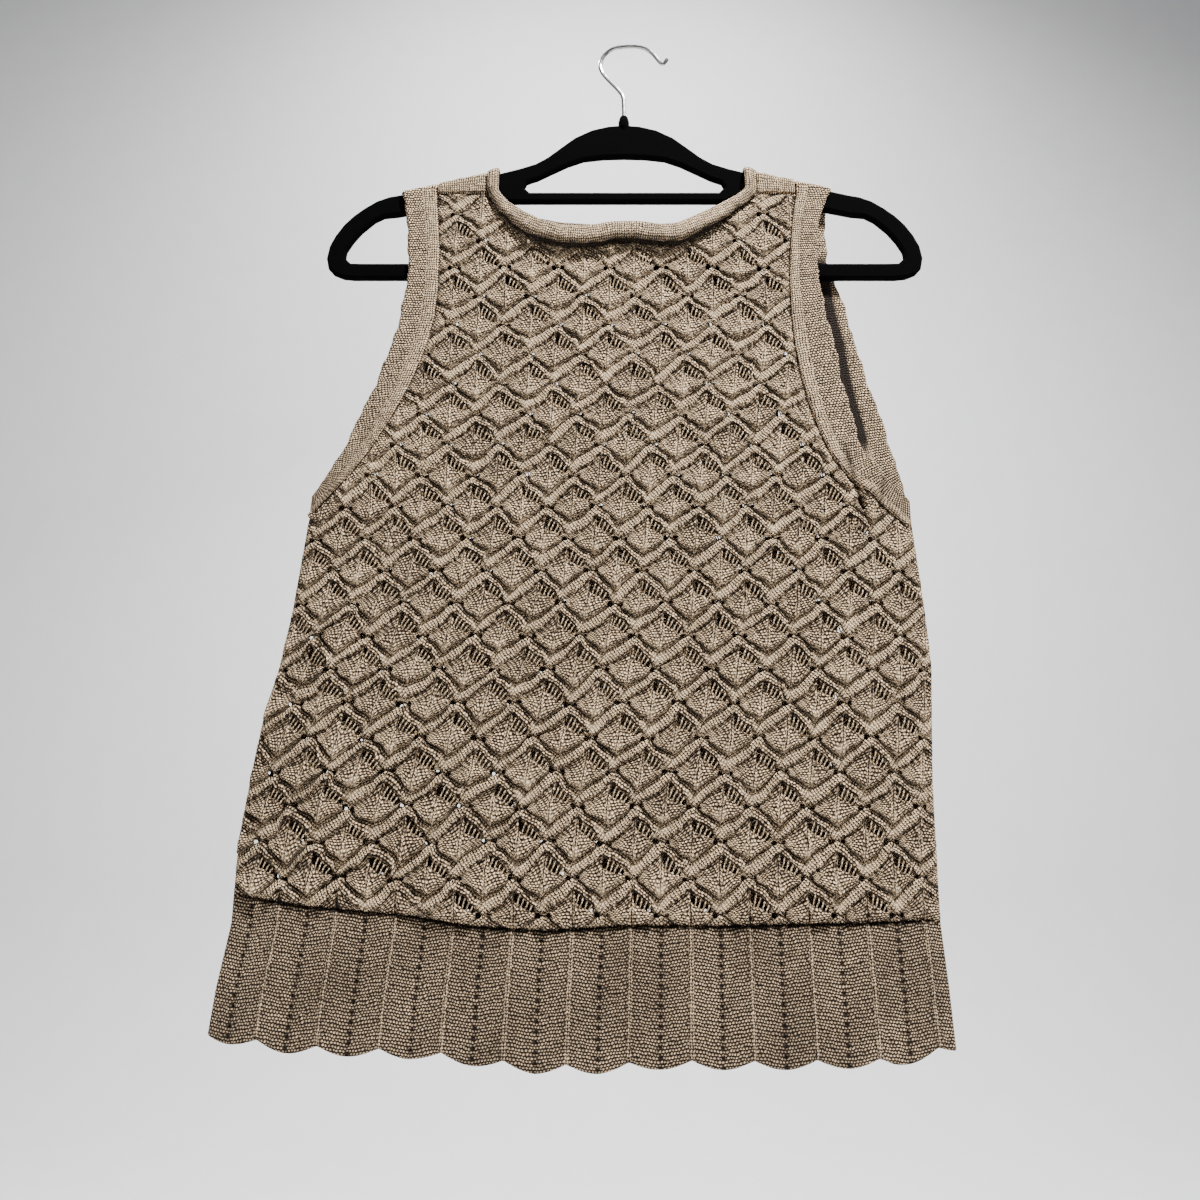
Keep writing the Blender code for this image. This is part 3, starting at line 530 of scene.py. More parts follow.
def lace_piece(name, side, outline, columns, across, ridge_rows, fan_rows, material):
    """The lace as a sheet whose rows of faces follow its ridges and fans."""
    u = np.arange(columns[0] * across, columns[1] * across + 1) / across
    steps = np.concatenate([np.arange(ridge_rows) / ridge_rows,
                            1 + np.arange(fan_rows) / fan_rows])
    rows = np.arange(LACE_ROWS[0] - 1, LACE_ROWS[-1] + 2)
    U, ROW = np.meshgrid(u, np.repeat(rows, len(steps)))
    STEP = np.broadcast_to(np.tile(steps, len(rows))[:, None], U.shape)

    # swing is 0 at a ridge's peak and 1 in its valley; q runs down a ridge, p down a fan
    swing = 1 - np.abs(np.mod(U + ROW, 2) - 1)
    top = read(EYELET_ROW, ROW) - CHEVRON_DROP * swing + row_sway(U, ROW) * swing
    below = read(EYELET_ROW, ROW + 1) - CHEVRON_DROP * (1 - swing)
    below = below + row_sway(U, ROW + 1) * (1 - swing)
    whole = top - below
    left_arm = np.mod(U + ROW, 2) < 1
    ridge = RIDGE_DROP + (VALLEY_DROP - RIDGE_DROP) * swing
    ridge = ridge * (1 + 0.16 * np.sin(pi * swing) * np.where(left_arm, -1, 1))
    ridge = np.where(swing > 0.999, whole, np.minimum(ridge, whole))
    fan = whole - ridge
    q = np.clip(STEP, 0, 1)
    p = np.clip(STEP - 1, 0, 1)
    Z = top - ridge * q - fan * p
    X = column_x(U, Z, side)

    peak = 2 * np.round((U + ROW) / 2) - ROW
    local_x = -side * (X - column_x(peak, Z, side))
    local_z = Z - (read(EYELET_ROW, ROW) - RIDGE_DROP)

    lift = np.interp(q, [0, 0.12, 0.35, 0.6, 0.85, 1], [-0.6, 0.8, 1.8, 2.4, 2.7, 1.4])
    lift = lift * (1 - 0.5 * swing) * np.where(left_arm, 0.85, 1.0)
    belly = np.interp(p, [0, 0.12, 0.35, 0.7, 0.93, 1], [1.6, 0.9, 1.2, 2.9, 3.4, -0.6])
    belly = belly * (0.4 + 0.6 * (1 - swing) ** 0.5) * np.where(left_arm, 1.0, 0.8)
    spine = 0.7 * np.exp(-(local_x / 1.9) ** 2) * np.sin(pi * p)
    relief = np.where(STEP < 1, lift, belly + spine)
    rough = 0.5 * uneven(X, Z, 6.1, 0.3) + 0.45 * uneven(X, Z, 4.2, 2.9)
    rough = rough + 0.3 * uneven(X, Z, 3.1, 5.1)
    smooth_to = np.where(left_arm, 0.12, 0.75)
    purled = np.where(STEP < 1, soften((q - smooth_to) / 0.25),
                      np.interp(p, [0, 0.85, 1], [1, 0.8, 0]))
    purled = np.where(swing > 0.85, 0.2, np.maximum(purled, 0.12))
    bounce = 0.95 + 0.3 * uneven(X, Z, 61, 0.7) + 0.25 * uneven(X, Z, 24, 2.7)
    lower_left = soften((-Z - 380) / 260) * soften((60 - X) / 260)
    relief = relief * bounce * (1 + 0.4 * lower_left) + rough * purled * 1.2
    rope = np.where(STEP < 1, np.exp(-((q - 0.86) / 0.13) ** 2), 0) * (1 - swing ** 4)
    bead = 0.5 + 0.5 * np.cos(10 * pi * U + 1.5 * uneven(X, Z, 33, 0.2))
    relief = relief + rope * (0.1 + 1.0 * bead)

    # painted light: shade in the V grooves, between the rope's beads, in a thin line under each
    # ridge, over the fans' upper parts and in the rough's hollows; highlight on the beads and the
    # rough's tops. The tone term darkens or lightens each fan at random.
    shade = np.zeros_like(X)
    thick = np.where(left_arm, 2.2, 0.6)
    groove = np.where(STEP < 1, np.exp(-(q * ridge / thick) ** 2),
                      np.exp(-((1 - p) * fan / thick) ** 2))
    pull = 0.65 + 0.5 * scatter(ROW, np.floor(U), 6.0)
    shade += groove * np.where(left_arm, pull, 0.26) * (1 - 0.8 * np.abs(2 * swing - 1) ** 3)
    shade += rope * (0.75 - 1.15 * bead)
    shade += np.where(STEP >= 1, 0.85 * np.exp(-(p * fan / 1.1) ** 2), 0) * (1 - swing ** 3)
    shade += np.where(STEP >= 1, 0.3 * np.exp(-(((p - 0.22) / 0.2) ** 2)), 0) * (1 - swing)
    tone = scatter(ROW, np.round((U + ROW) / 2), 9.0)
    shade += np.where(STEP >= 1, (0.5 * tone ** 2 - 0.1) * np.sin(pi * p), 0) * (1 - swing)
    shade += 1.15 * np.clip(-rough, 0, 1) * purled - 0.95 * np.clip(rough, 0, 1) * purled
    # painted highlight: bright spots on the ridges by their valleys, and at the fans' feet by the
    # spine
    painted_highlight_spot = np.where(STEP < 1, np.exp(-((q - 0.45) / 0.3) ** 2 - ((1 - swing) / 0.3) ** 2),
                    np.exp(-(((p - 0.85) / 0.12) ** 2) - (local_x / 4.0) ** 2))
    shade -= (0.25 + 0.85 * scatter(ROW, np.round(U), 4.0) ** 2) * painted_highlight_spot

    inside, _, _ = distance_inside(X, Z, outline)
    shift = soften(inside / 25)
    pucker = 1.0 + 0.7 * lower_left
    drift_x = 1.2 * uneven(X, Z, 47, 1.3 + side) + 0.8 * uneven(X, Z, 21, 4.0 + side)
    drift_z = 1.2 * uneven(X, Z, 53, 2.4 + side) + 0.8 * uneven(X, Z, 25, 5.2 + side)
    drift_x, drift_z = shift * pucker * drift_x, shift * pucker * drift_z

    faces = grid_faces(X.shape)
    flat = {key: value.ravel() for key, value in dict(
        x=X, z=Z, u=U, row=ROW.astype(float), step=STEP, lx=local_x, lz=local_z, relief=relief,
        shade=shade, inside=inside, dx=drift_x, dz=drift_z, rib=q * ridge).items()}

    def middle(key):
        return flat[key][faces].mean(axis=1)

    keep = middle("inside") > -LACE_TUCK
    keep &= side_inset(middle("x"), middle("z")) > 0

    # the eyelet pairs either side of each peak, and the ladders under the ridges
    hole_x, hole_z, size = eyelet_near(middle("x"), middle("z"), side)
    in_eyelet = np.hypot(middle("x") - hole_x, (middle("z") - hole_z) / 1.1) < size
    in_eyelet &= middle("inside") > EYELET_CLEAR
    ladder = ladder_outline(side)
    in_ladder, _, _ = distance_inside(middle("lx"), middle("lz"), ladder)
    face_row = flat["row"][faces[:, 0]]
    face_peak = 2 * np.round((middle("u") + face_row) / 2) - face_row
    in_ladder = (in_ladder > 0) & (middle("step") > 1)
    in_ladder &= np.isin(face_row * 100 + face_peak, open_ladders(side, outline))
    kept = faces[keep & ~in_eyelet & ~in_ladder]

    # rims drawn to the holes' true edges and turned in, with painted shade round the holes
    x, z, relief = flat["x"].copy(), flat["z"].copy(), flat["relief"].copy()
    rim = np.intersect1d(np.unique(faces[keep & in_eyelet]), np.unique(kept))
    hole_x, hole_z, size = eyelet_near(x[rim], z[rim], side)
    away = np.maximum(np.hypot(x[rim] - hole_x, (z[rim] - hole_z) / 1.1), 0.2)
    x[rim] = hole_x + (x[rim] - hole_x) / away * size
    z[rim] = hole_z + (z[rim] - hole_z) / away * size
    relief[rim] = relief[rim] * 0.35
    flat["shade"][rim] += 0.35
    rim = np.intersect1d(np.unique(faces[keep & in_ladder]), np.unique(kept))
    _, to_x, to_z = distance_inside(flat["lx"][rim], flat["lz"][rim], ladder)
    x[rim] -= side * (to_x - flat["lx"][rim])
    z[rim] += to_z - flat["lz"][rim]
    relief[rim] = relief[rim] * 0.5
    flat["shade"][rim] += 0.3

    # the cloth's own drift; its side edges run true, the others tuck under their bands
    x, z = x + flat["dx"], z + flat["dz"]
    beyond = side_inset(x, z) < 0
    left, right = read(SIDE_LINE, z, 1), read(SIDE_LINE, z, 2)
    x = np.where(beyond, np.where(x < (left + right) / 2, left, right), x)
    tuck = soften(flat["inside"] / 3.5)
    at_side = soften((9 - side_inset(x, z)) / 6)
    tuck = np.maximum(tuck, at_side)
    over_hem = read(HEM_SEAM, x)
    puff = 2.2 * soften((z - over_hem) / 2.5) * soften((over_hem + 15 - z) / 11)
    hem_chain = (np.mod((x - read(LACE_SPREAD, HEM_LEVEL)) / HEM_REPEAT, 1) - 0.5) * HEM_REPEAT
    slit = np.exp(-(hem_chain / 1.3) ** 2 - ((z - over_hem - 3) / 5.0) ** 2) * (side == FRONT)
    out = LACE_FLOOR + relief * tuck * (1 - 0.6 * slit)
    out = out + puff * soften(side_inset(x, z) / 12) * (1 - 0.8 * slit)
    # painted shadow along the lace's edge by the bands, and painted shade in the slits over the
    # hem's chains and in the creases
    band_shadow = 0.7 * np.exp(-(np.maximum(flat["inside"], 0) / 1.1) ** 2)
    shade = flat["shade"] + band_shadow * (1 - at_side)
    shade = shade + 0.9 * slit + 0.8 * crease(x, z, side)

    ridge_face = flat["step"][kept].mean(axis=1) < 1
    face_row = flat["row"][kept[:, 0]]
    face_u = flat["u"][kept].mean(axis=1)
    face_peak = 2 * np.round((face_u + face_row) / 2) - face_row
    lean = np.where(np.mod(face_u + face_row, 2) < 1, -1, 1) * -side
    angle = (lean * atan2(CHEVRON_DROP, HALF_REPEAT))[:, None]
    next_row = flat["row"][kept] > face_row[:, None]
    down = np.where(next_row, 1.0, np.clip(flat["step"][kept] - 1, 0, 1))
    ribbing = np.where(flat["step"][kept] >= 1, RIDGE_DROP, flat["rib"][kept])
    from_spine = x[kept] - column_x(face_peak[:, None], z[kept], side)
    along_ridge = x[kept] * np.cos(angle) + z[kept] * np.sin(angle)
    ridge_face = ridge_face[:, None]
    stitch = np.stack([np.where(ridge_face, along_ridge, from_spine),
                       np.where(ridge_face, ribbing, FAN_LENGTH * down)], axis=-1)
    ridge_face = ridge_face[:, 0]
    near_spine = np.abs(from_spine.mean(axis=1)) < SPINE_REACH
    in_valley = np.abs(from_spine.mean(axis=1)) > VALLEY_REACH
    bumpy_arm = np.mod(face_u + face_row, 2) < 1
    smooth_until = np.where(in_valley, 0.95, np.where(bumpy_arm, 0.2, 0.85))
    smooth_face = flat["step"][kept].mean(axis=1) < smooth_until
    plain = (smooth_face | near_spine).astype(float)
    if side == BACK:
        kept = kept[:, ::-1]
        stitch = stitch[:, ::-1]
    points = drape(x, z, out, side)
    return make_piece(name, points, kept, stitch.reshape(-1, 2), plain, shade, material)


def ladder_yarn(name, side, outline, material):
    """The slanted strands left across each ladder, as thin yarn."""
    points, faces = [], []
    ring = 5
    ladder = ladder_outline(side)
    opened = set(open_ladders(side, outline))
    for row, column in [(row, column) for row in LACE_ROWS for column in LACE_COLUMNS
                        if row * 100 + column in opened]:
        spine_z = float(read(EYELET_ROW, row)) - RIDGE_DROP
        for bar in range(LADDER_BARS):
            share = (bar + 1.1) / (LADDER_BARS + 0.6)
            lean = 1.5 + 0.6 * float(scatter(row, column, bar))
            high = np.array(ladder[0]) * (1 - share) + np.array(ladder[1]) * share
            low = np.array(ladder[3]) * (1 - share) + np.array(ladder[2]) * share
            high = high + (0.5, 0.7)
            low = low + (0.5 - lean, -0.7)
            path = []
            for step in range(4):
                local = high + (low - high) * step / 3
                z = spine_z + local[1]
                x = float(column_x(column, z, side)) - side * local[0]
                shape = 1.7 + 1.6 * (1 - step / 3) * (step / 3) * 2
                path.append((x, z, LACE_FLOOR + shape))
            path = np.array(path)
            run = path[-1] - path[0]
            run = run / np.linalg.norm(run)
            first = np.cross(run, (0, 0, 1.0))
            first = first / np.linalg.norm(first)
            second = np.cross(run, first)
            base = len(points)
            for place in path:
                for corner in range(ring):
                    angle = 2 * pi * corner / ring
                    outward = cos(angle) * first + sin(angle) * second
                    points.append(place + YARN_RADIUS * outward)
            for step in range(3):
                for corner in range(ring):
                    a = base + step * ring + corner
                    b = base + step * ring + (corner + 1) % ring
                    faces.append((a, b, b + ring, a + ring))
    points, faces = np.array(points), np.array(faces)
    faces = faces if side == FRONT else faces[:, ::-1]
    draped = drape(points[:, 0], points[:, 1], points[:, 2], side)
    stitch = np.stack([points[faces][:, :, 0], points[faces][:, :, 1]], axis=-1)
    # the strands are brightened all over with painted highlight (shade -0.5)
    return make_piece(name, draped, faces, stitch.reshape(-1, 2), np.ones(len(faces)),
                      np.full(len(points), -0.5), material)


lace_cotton = knit_material("lace_cotton", YARN_GAP_SHADE, YARN_BODY, YARN_HIGHLIGHT, 0.0011, 1.2)
front_outline = lace_outline(LEFT_FRONT, RIGHT_FRONT, NECK_FRONT)
back_outline = lace_outline(LEFT_BACK, RIGHT_BACK, NECK_BACK)
lace_front_left = lace_piece("lace_front_left", FRONT, front_outline, (-12, 0), FRONT_COLUMNS,
                             FRONT_RIDGE_ROWS, FRONT_FAN_ROWS, lace_cotton)
lace_front_right = lace_piece("lace_front_right", FRONT, front_outline, (0, 15), FRONT_COLUMNS,
                              FRONT_RIDGE_ROWS, FRONT_FAN_ROWS, lace_cotton)
lace_back = lace_piece("lace_back", BACK, back_outline, (-15, 13), BACK_COLUMNS,
                       BACK_RIDGE_ROWS, BACK_FAN_ROWS, lace_cotton)
strands_front = ladder_yarn("ladder_strands_front", FRONT, front_outline, lace_cotton)
strands_back = ladder_yarn("ladder_strands_back", BACK, back_outline, lace_cotton)
# each panel's cut: the widest course of its lace by its height at the shoulder
for piece in (lace_front_left, lace_front_right, strands_front):
    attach(piece, "root")
    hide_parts("front_panel")
for piece in (lace_back, strands_back):
    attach(piece, "root")
    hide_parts("back_panel")

# ---- armhole bands
# Plain bands about 25 mm wide, knitted on round each armhole. The stitches by
# the lace stand upright and the rest lie along the band. Its edge is soft.
WALL = 2.4  # thickness of the plain knitted cloth
UPRIGHT = 9.0  # width of a band's upright stitches
# colours: painted shade for the gaps between stitches, the band yarn's own colour, painted
# highlight for the stitches' tops
band_cotton = knit_material("band_cotton", (0.018, 0.012, 0.008), (0.190, 0.120, 0.068),
                            (0.980, 0.745, 0.480), 0.0013, 1.0)


def line_points(line):
    """A band's line with the shoulder ridge's height filled in."""
    return [(x, float(ridge_height(np.array(float(x)))) - GAP / 2 if z is None else z)
            for x, z in line]


def lengths_along(line):
    """How far along a line each of its points lies."""
    return np.concatenate([[0], np.cumsum(np.hypot(*np.diff(line, axis=0).T))])


def two_faces(x, z, high, rim, side):
    """Points and faces of a wall's outer and inner sides, thin at its rims."""
    round_off = np.sqrt(np.clip(1 - (1 - rim) ** 2, 0, 1))
    outer = WALL / 2 + (WALL / 2 + high) * round_off
    inner = WALL / 2 - (WALL / 2 - 0.2) * round_off
    quads = grid_faces(x.shape)
    faces = np.concatenate([quads, quads[:, ::-1] + x.size])
    points = np.concatenate([drape(x.ravel(), z.ravel(), level.ravel(), side)
                             for level in (outer, inner)])
    return points, faces


def ribbon(name, side, first, second, pitch, material, relief, plain_where, waviness=0.0):
    """A closed thin wall between two lines, thin at its rims."""
    first, second = np.array(first, float), np.array(second, float)
    length = lengths_along((first + second) / 2)
    count = int(length[-1] / pitch) + 2
    along = np.linspace(0, length[-1], count)
    sides = []
    for line in (first, second):
        smooth = np.stack([np.interp(along, length, line[:, axis]) for axis in (0, 1)], axis=1)
        for _ in range(3):
            smooth[1:-1] = (smooth[:-2] + 2 * smooth[1:-1] + smooth[2:]) / 4
        sides.append(smooth)
    width = float(np.hypot(*(sides[1] - sides[0]).T).mean())
    wide = max(int(width / pitch), 4)
    share = np.linspace(0, 1, wide + 1)
    wavy = share * (1 + waviness * uneven(along, 0 * along, 25, 1.0)[:, None] * share)
    x = sides[0][:, None, 0] * (1 - wavy) + sides[1][:, None, 0] * wavy
    z = sides[0][:, None, 1] * (1 - wavy) + sides[1][:, None, 1] * wavy
    run = np.broadcast_to(along[:, None], x.shape)
    reach = np.broadcast_to(share * width, x.shape)
    rim = np.minimum(reach, width - reach) / 1.5
    ends = np.minimum(run, length[-1] - run) / 0.5
    rim = np.clip(np.minimum(rim, ends), 0, 1)
    high, shade, inner_shade = relief(x, z, run, reach, width)
    points, faces = two_faces(x, z, high, rim, side)
    place = np.stack([reach.ravel(), run.ravel()], -1)
    place = np.concatenate([place, place])
    stitch, plain = plain_where(place[faces], width)
    shade = np.concatenate([shade.ravel(), inner_shade.ravel()])
    piece = make_piece(name, points, faces, stitch.reshape(-1, 2), plain, shade, material)
    shape = bmesh.new()
    shape.from_mesh(piece.data)
    if shape.calc_volume(signed=True) < 0:
        bmesh.ops.reverse_faces(shape, faces=shape.faces)
    shape.to_mesh(piece.data)
    shape.free()
    return piece


def band_relief(side):
    """A dip after the upright stitches, a soft lip, and short drawn-in marks;
    painted shade in the dip, along the seam, in the creases and on the inner face.
    """
    def relief(x, z, run, from_seam, width):
        high = 0.35 * uneven(x, z, 19, 0.4) + 0.3 * np.exp(-((from_seam - 4.5) / 2.6) ** 2)
        high = high - 0.3 * np.exp(-((from_seam - UPRIGHT) / 1.0) ** 2)
        high = high + 0.45 * np.exp(-((width - from_seam - 1.8) / 1.4) ** 2)
        dash = np.mod(run + 7 * uneven(x, z, 90, 3.0), 27) < 1.6
        dash = dash & (from_seam > UPRIGHT) & (from_seam < 20)
        shade = 0.3 * np.exp(-((from_seam - UPRIGHT) / 0.8) ** 2) + 0.5 * dash
        shade = shade + 0.5 * np.exp(-(from_seam / 0.8) ** 2) + 0.9 * crease(x, z, side)
        inner_shade = shade * 0.5
        if side == BACK:
            # painted shadow of the deep gap under the right arm, on the inner face, seen past the
            # front band's edge
            front_edge = read([(row[1], row[0]) for row in RIGHT_FRONT[1:]], z)
            into = soften((z + 352) / 26) * soften((-176 - z) / 14)
            behind = soften((front_edge + 8 + 5 * into - x) / 4)
            inner_shade = inner_shade + 1.2 * (x > 0) * into * behind
        return high, shade, inner_shade
    return relief


def band_stitch(place, width):
    return place, (place[:, :, 0].mean(axis=1) < UPRIGHT).astype(float)


for name, side, table in (
        ("armhole_left_front", FRONT, LEFT_FRONT), ("armhole_right_front", FRONT, RIGHT_FRONT),
        ("armhole_left_back", BACK, LEFT_BACK), ("armhole_right_back", BACK, RIGHT_BACK)):
    edge_line = line_points([(row[0], row[1]) for row in table])
    seam_line = line_points([(row[2], row[3]) for row in table])
    band = ribbon(name, side, seam_line, edge_line, 1.35, band_cotton, band_relief(side),
                  band_stitch, 0.045)
    node = "armhole_band_" + name.replace("armhole_", "")
    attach(band, "root")
    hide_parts(node)

# ---- shoulder strips
# A plain strip over each shoulder joins the front lace to the back lace. It is
# grafted on, so it shows no seam, and it lies over the hanger's arm.
STRIP_EDGE = -134.5  # flat height of a strip's seams with the lace


def strip_relief(x, z, run, reach, width):
    return 0.3 * uneven(x, z, 17, 2.2) + 0.2, np.zeros_like(x), np.zeros_like(x)


def strip_stitch(place, width):
    return place, np.ones(len(place))


for name, outer_x, inner_x, cut in (
        ("strip_left", -142, -104, 0.0013), ("strip_right", 130, 100, 0.0011)):
    lines = []
    for x in (min(outer_x, inner_x) + GAP, max(outer_x, inner_x) - GAP):
        ridge = float(ridge_height(np.array(float(x))))
        lines.append([(x, STRIP_EDGE + GAP), (x, ridge), (x, 2 * ridge - STRIP_EDGE - GAP)])
    strip = ribbon(name, FRONT, lines[0], lines[1], 1.3, band_cotton, strip_relief, strip_stitch)
    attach(strip, "root")
    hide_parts("shoulder_" + name)

# ---- neck band
# A narrow plain band, knitted on at the neck and left to curl outward, so it
# makes a soft roll whose loose edge waves along the front.
NECK_WALL = 2.0
ROLL_HEIGHT = 18.0  # knitted height of the band above its seam
ROLL_STAND = 8.5  # how far the roll stands out
ROLL_HANG = 3.5  # how far its loose edge hangs below the seam


def roll_profile(height, stand, wave):
    """Middle line of the curl: up from the seam, over, and down outside."""
    radius = (stand - NECK_WALL) / 2
    top = height - ROLL_HANG - radius - NECK_WALL / 2
    turns = np.linspace(0, pi, 13)
    up = np.linspace(0, top, 6)[:-1]
    end = [-top * 0.45, ROLL_HANG - 2.9 + wave]
    reach = np.concatenate([-up, -top - radius * np.sin(turns), end])
    rise = np.concatenate([0 * up, radius * (1 - np.cos(turns)), [2 * radius, 2 * radius - 0.3]])
    return reach, rise


def neck_roll(name, side, table):
    """The curl, carried along the neck's seam and over the hanger's arms."""
    seam = np.array(line_points(table))
    length = lengths_along(seam)
    along = np.linspace(0, length[-1], int(length[-1] / 1.5))
    path = np.stack([np.interp(along, length, seam[:, axis]) for axis in (0, 1)], axis=1)
    for _ in range(6):
        path[1:-1] = (path[:-2] + 2 * path[1:-1] + path[2:]) / 4
    points, shade, place = [], [], []
    for index, (x, z) in enumerate(path):
        before, after = path[max(index - 1, 0)], path[min(index + 1, len(path) - 1)]
        run = hypot(after[0] - before[0], after[1] - before[1])
        out_x, out_z = (after[1] - before[1]) / run, -(after[0] - before[0]) / run
        on_arm = float(soften((z - STRIP_EDGE + 4) / 12))
        on_slope = float(soften((z - STRIP_EDGE + 42) / 42))
        wave = 1.3 * float(uneven(along[index], 0.0, 31, 0.9)) * (1 - on_arm)
        stand = ROLL_STAND + 0.6 * (1 - on_slope) - 3.9 * on_slope
        stand = stand + 0.4 * float(uneven(along[index], 0.0, 17, 2.0))
        reach, rise = roll_profile(ROLL_HEIGHT - 6.0 * on_slope, stand, wave)
        step_r, step_h = np.gradient(reach), np.gradient(rise)
        size = np.hypot(step_r, step_h)
        normal_r, normal_h = -step_h / size, step_r / size
        rank = np.arange(len(reach))
        near_end = np.clip(np.minimum(rank, rank[::-1]) / 1.2, 0, 1)
        thick = NECK_WALL / 2 * np.sqrt(np.clip(1 - (1 - near_end) ** 2, 0.02, 1))
        loop_r = np.concatenate([reach + normal_r * thick, (reach - normal_r * thick)[::-1]]) - GAP
        loop_h = np.concatenate([rise + normal_h * thick, (rise - normal_h * thick)[::-1]])
        level_x, level_z = x + out_x * loop_r, z + out_z * loop_r
        ridge = float(ridge_height(np.array(float(x))))
        level_z = level_z + on_arm * (ridge_height(level_x) - ridge)
        points.append(drape(level_x, level_z, np.maximum(loop_h + NECK_WALL / 2, 0.1), side))
        # painted shade where the roll lies low on the cloth and near its seam, less over the
        # hanger's arms
        shade.append(0.5 * (loop_h < 2.0) + 0.55 * (loop_r > -3.5) * (1 - 0.6 * on_arm))
        around = np.concatenate([[0], np.cumsum(np.hypot(np.diff(loop_r), np.diff(loop_h)))])
        place.append(np.stack([np.full(len(loop_r), along[index]), around], axis=1))
    ring = len(points[0])
    faces = []
    for station in range(len(path) - 1):
        for step in range(ring):
            a, b = station * ring + step, station * ring + (step + 1) % ring
            faces.append((a, b, b + ring, a + ring))
    faces = np.array(faces)
    place = np.concatenate(place)
    piece = make_piece(name, np.concatenate(points), faces, place[faces].reshape(-1, 2),
                       np.ones(len(faces)), np.concatenate(shade), band_cotton)
    shape = bmesh.new()
    shape.from_mesh(piece.data)
    rims = [edge for edge in shape.edges if edge.is_boundary]
    bmesh.ops.holes_fill(shape, edges=rims, sides=0)
    bmesh.ops.recalc_face_normals(shape, faces=shape.faces)
    shape.to_mesh(piece.data)
    shape.free()
    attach(piece, "root")
    return piece


neck_front = neck_roll("neck_roll_front", FRONT, NECK_FRONT)
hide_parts("neck_band_front")
neck_back = neck_roll("neck_roll_back", BACK, NECK_BACK)
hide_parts("neck_band_back")

# ---- hem bands
# A deep purl band ends the body. Dotted lines of eyelets run down it, and a
# chain of decreases between each two draws its rows up, which scallops the edge.
HEM_LINE = (
    # x, height of the lower edge
    (-266, -729), (-206, -735), (-128, -738), (-58, -746), (-19, -746), (17, -743.6),
    (84, -744), (162, -742.6), (204, -736),
)
HEM_FOOT = -745.0  # height at which its side edges end
HEM_DEPTH = 84  # knitted depth
HEM_ACROSS, HEM_DOWN = 420, 70  # points drawn
SCALLOP = 5.2  # rise of the edge at each chain
EYELET_STEP = 5.9  # from one eyelet of a line to the next


def hem_repeat(x):
    """Repeats from the middle; a line of eyelets runs down at each whole one."""
    return (x - read(LACE_SPREAD, HEM_LEVEL)) / HEM_REPEAT


def hem_bottom(x, top_x):
    return read(HEM_LINE, x) + SCALLOP * (1 - np.abs(np.cos(pi * hem_repeat(top_x))))


def hem_relief(x, z):
    """Dips at the eyelets and raised chains half way between. Painted shade fills the
    eyelets and lies beside the chains, at their ends and under the seam, painted
    highlight runs along the chains, and an overall painted shade varies slowly.
    """
    across = hem_repeat(x)
    to_eyelet = np.abs(across - np.round(across)) * HEM_REPEAT
    to_chain = HEM_REPEAT / 2 - to_eyelet
    down = read(HEM_SEAM, x) - z
    dot = np.exp(-(to_eyelet / 1.25) ** 2)
    on_dot = 0.5 + 0.5 * np.cos(2 * pi * down / EYELET_STEP)
    high = 0.9 * (0.5 - 0.5 * np.cos(2 * pi * across)) + 0.5 * np.exp(-(to_chain / 1.6) ** 2)
    high = high - 1.3 * dot * (0.35 + 0.65 * on_dot) + 0.45 * uneven(x, z, 70, 1.9)
    high = high + 0.2 * uneven(x, z, 6.1, 0.3) + 0.2 * uneven(x, z, 4.0, 2.9)
    shade = dot * (0.12 + 1.4 * on_dot ** 3) + 0.35 * np.exp(-((to_chain - 2.0) / 0.7) ** 2)
    shade = shade - (0.3 + 0.4 * np.cos(2 * pi * down / 3.0)) * np.exp(-(to_chain / 1.5) ** 2)
    shade = shade + 0.28 + 0.3 * (0.4 + 0.6 * uneven(x, z, 90, 0.6))
    chain_end = np.exp(-(to_chain / 1.0) ** 2 - ((down - 79) / 1.2) ** 2)
    shade = shade + 1.6 * chain_end
    shade = shade + 0.9 * np.exp(-(np.maximum(down, 0) / 1.8) ** 2)
    return high, shade


def hem_piece(name, side):
    """One side's band: its columns splay from the seam down to the edge."""
    share = np.linspace(0, 1, HEM_ACROSS)
    first_x, last_x = HEM_SEAM[0][0], HEM_SEAM[-1][0]
    top_x = first_x + share * (last_x - first_x)
    low_left, low_right = read(SIDE_LINE, HEM_FOOT, 1), read(SIDE_LINE, HEM_FOOT, 2)
    low_x = float(low_left) + share * float(low_right - low_left)
    fall = np.linspace(0, 1, HEM_DOWN)[:, None]
    z = (read(HEM_SEAM, top_x) - GAP / 2) * (1 - fall) + hem_bottom(low_x, top_x) * fall
    x = read(SIDE_LINE, z, 1) * (1 - share) + read(SIDE_LINE, z, 2) * share
    knit_x = np.broadcast_to(top_x, x.shape)
    reach = fall * HEM_DEPTH * np.ones_like(x)
    high, shade = hem_relief(knit_x, z)
    rim = np.clip(np.minimum(reach, HEM_DEPTH - reach) / 1.6, 0, 1)
    points, faces = two_faces(x, z, high, rim, side)
    across = hem_repeat(knit_x)
    dip = 1 - 2 * np.abs(across - np.round(across))
    place = np.stack([knit_x.ravel(), (z + 3.2 * dip).ravel()], -1)
    place = np.concatenate([place, place])
    mid = np.abs(across - np.floor(across) - 0.5).ravel() * HEM_REPEAT
    mid = np.concatenate([mid, mid])
    plain = (mid[faces].mean(axis=1) < 1.3).astype(float)
    # the inner face gets half the painted shade
    shade = np.concatenate([shade.ravel(), shade.ravel() * 0.5])
    if side == BACK:
        faces = faces[:, ::-1]
    piece = make_piece(name, points, faces, place[faces].reshape(-1, 2), plain, shade, band_cotton)
    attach(piece, "root")
    return piece


hem_front = hem_piece("hem_front", FRONT)
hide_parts("hem_band_front")
hem_back = hem_piece("hem_back", BACK)
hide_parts("hem_band_back")

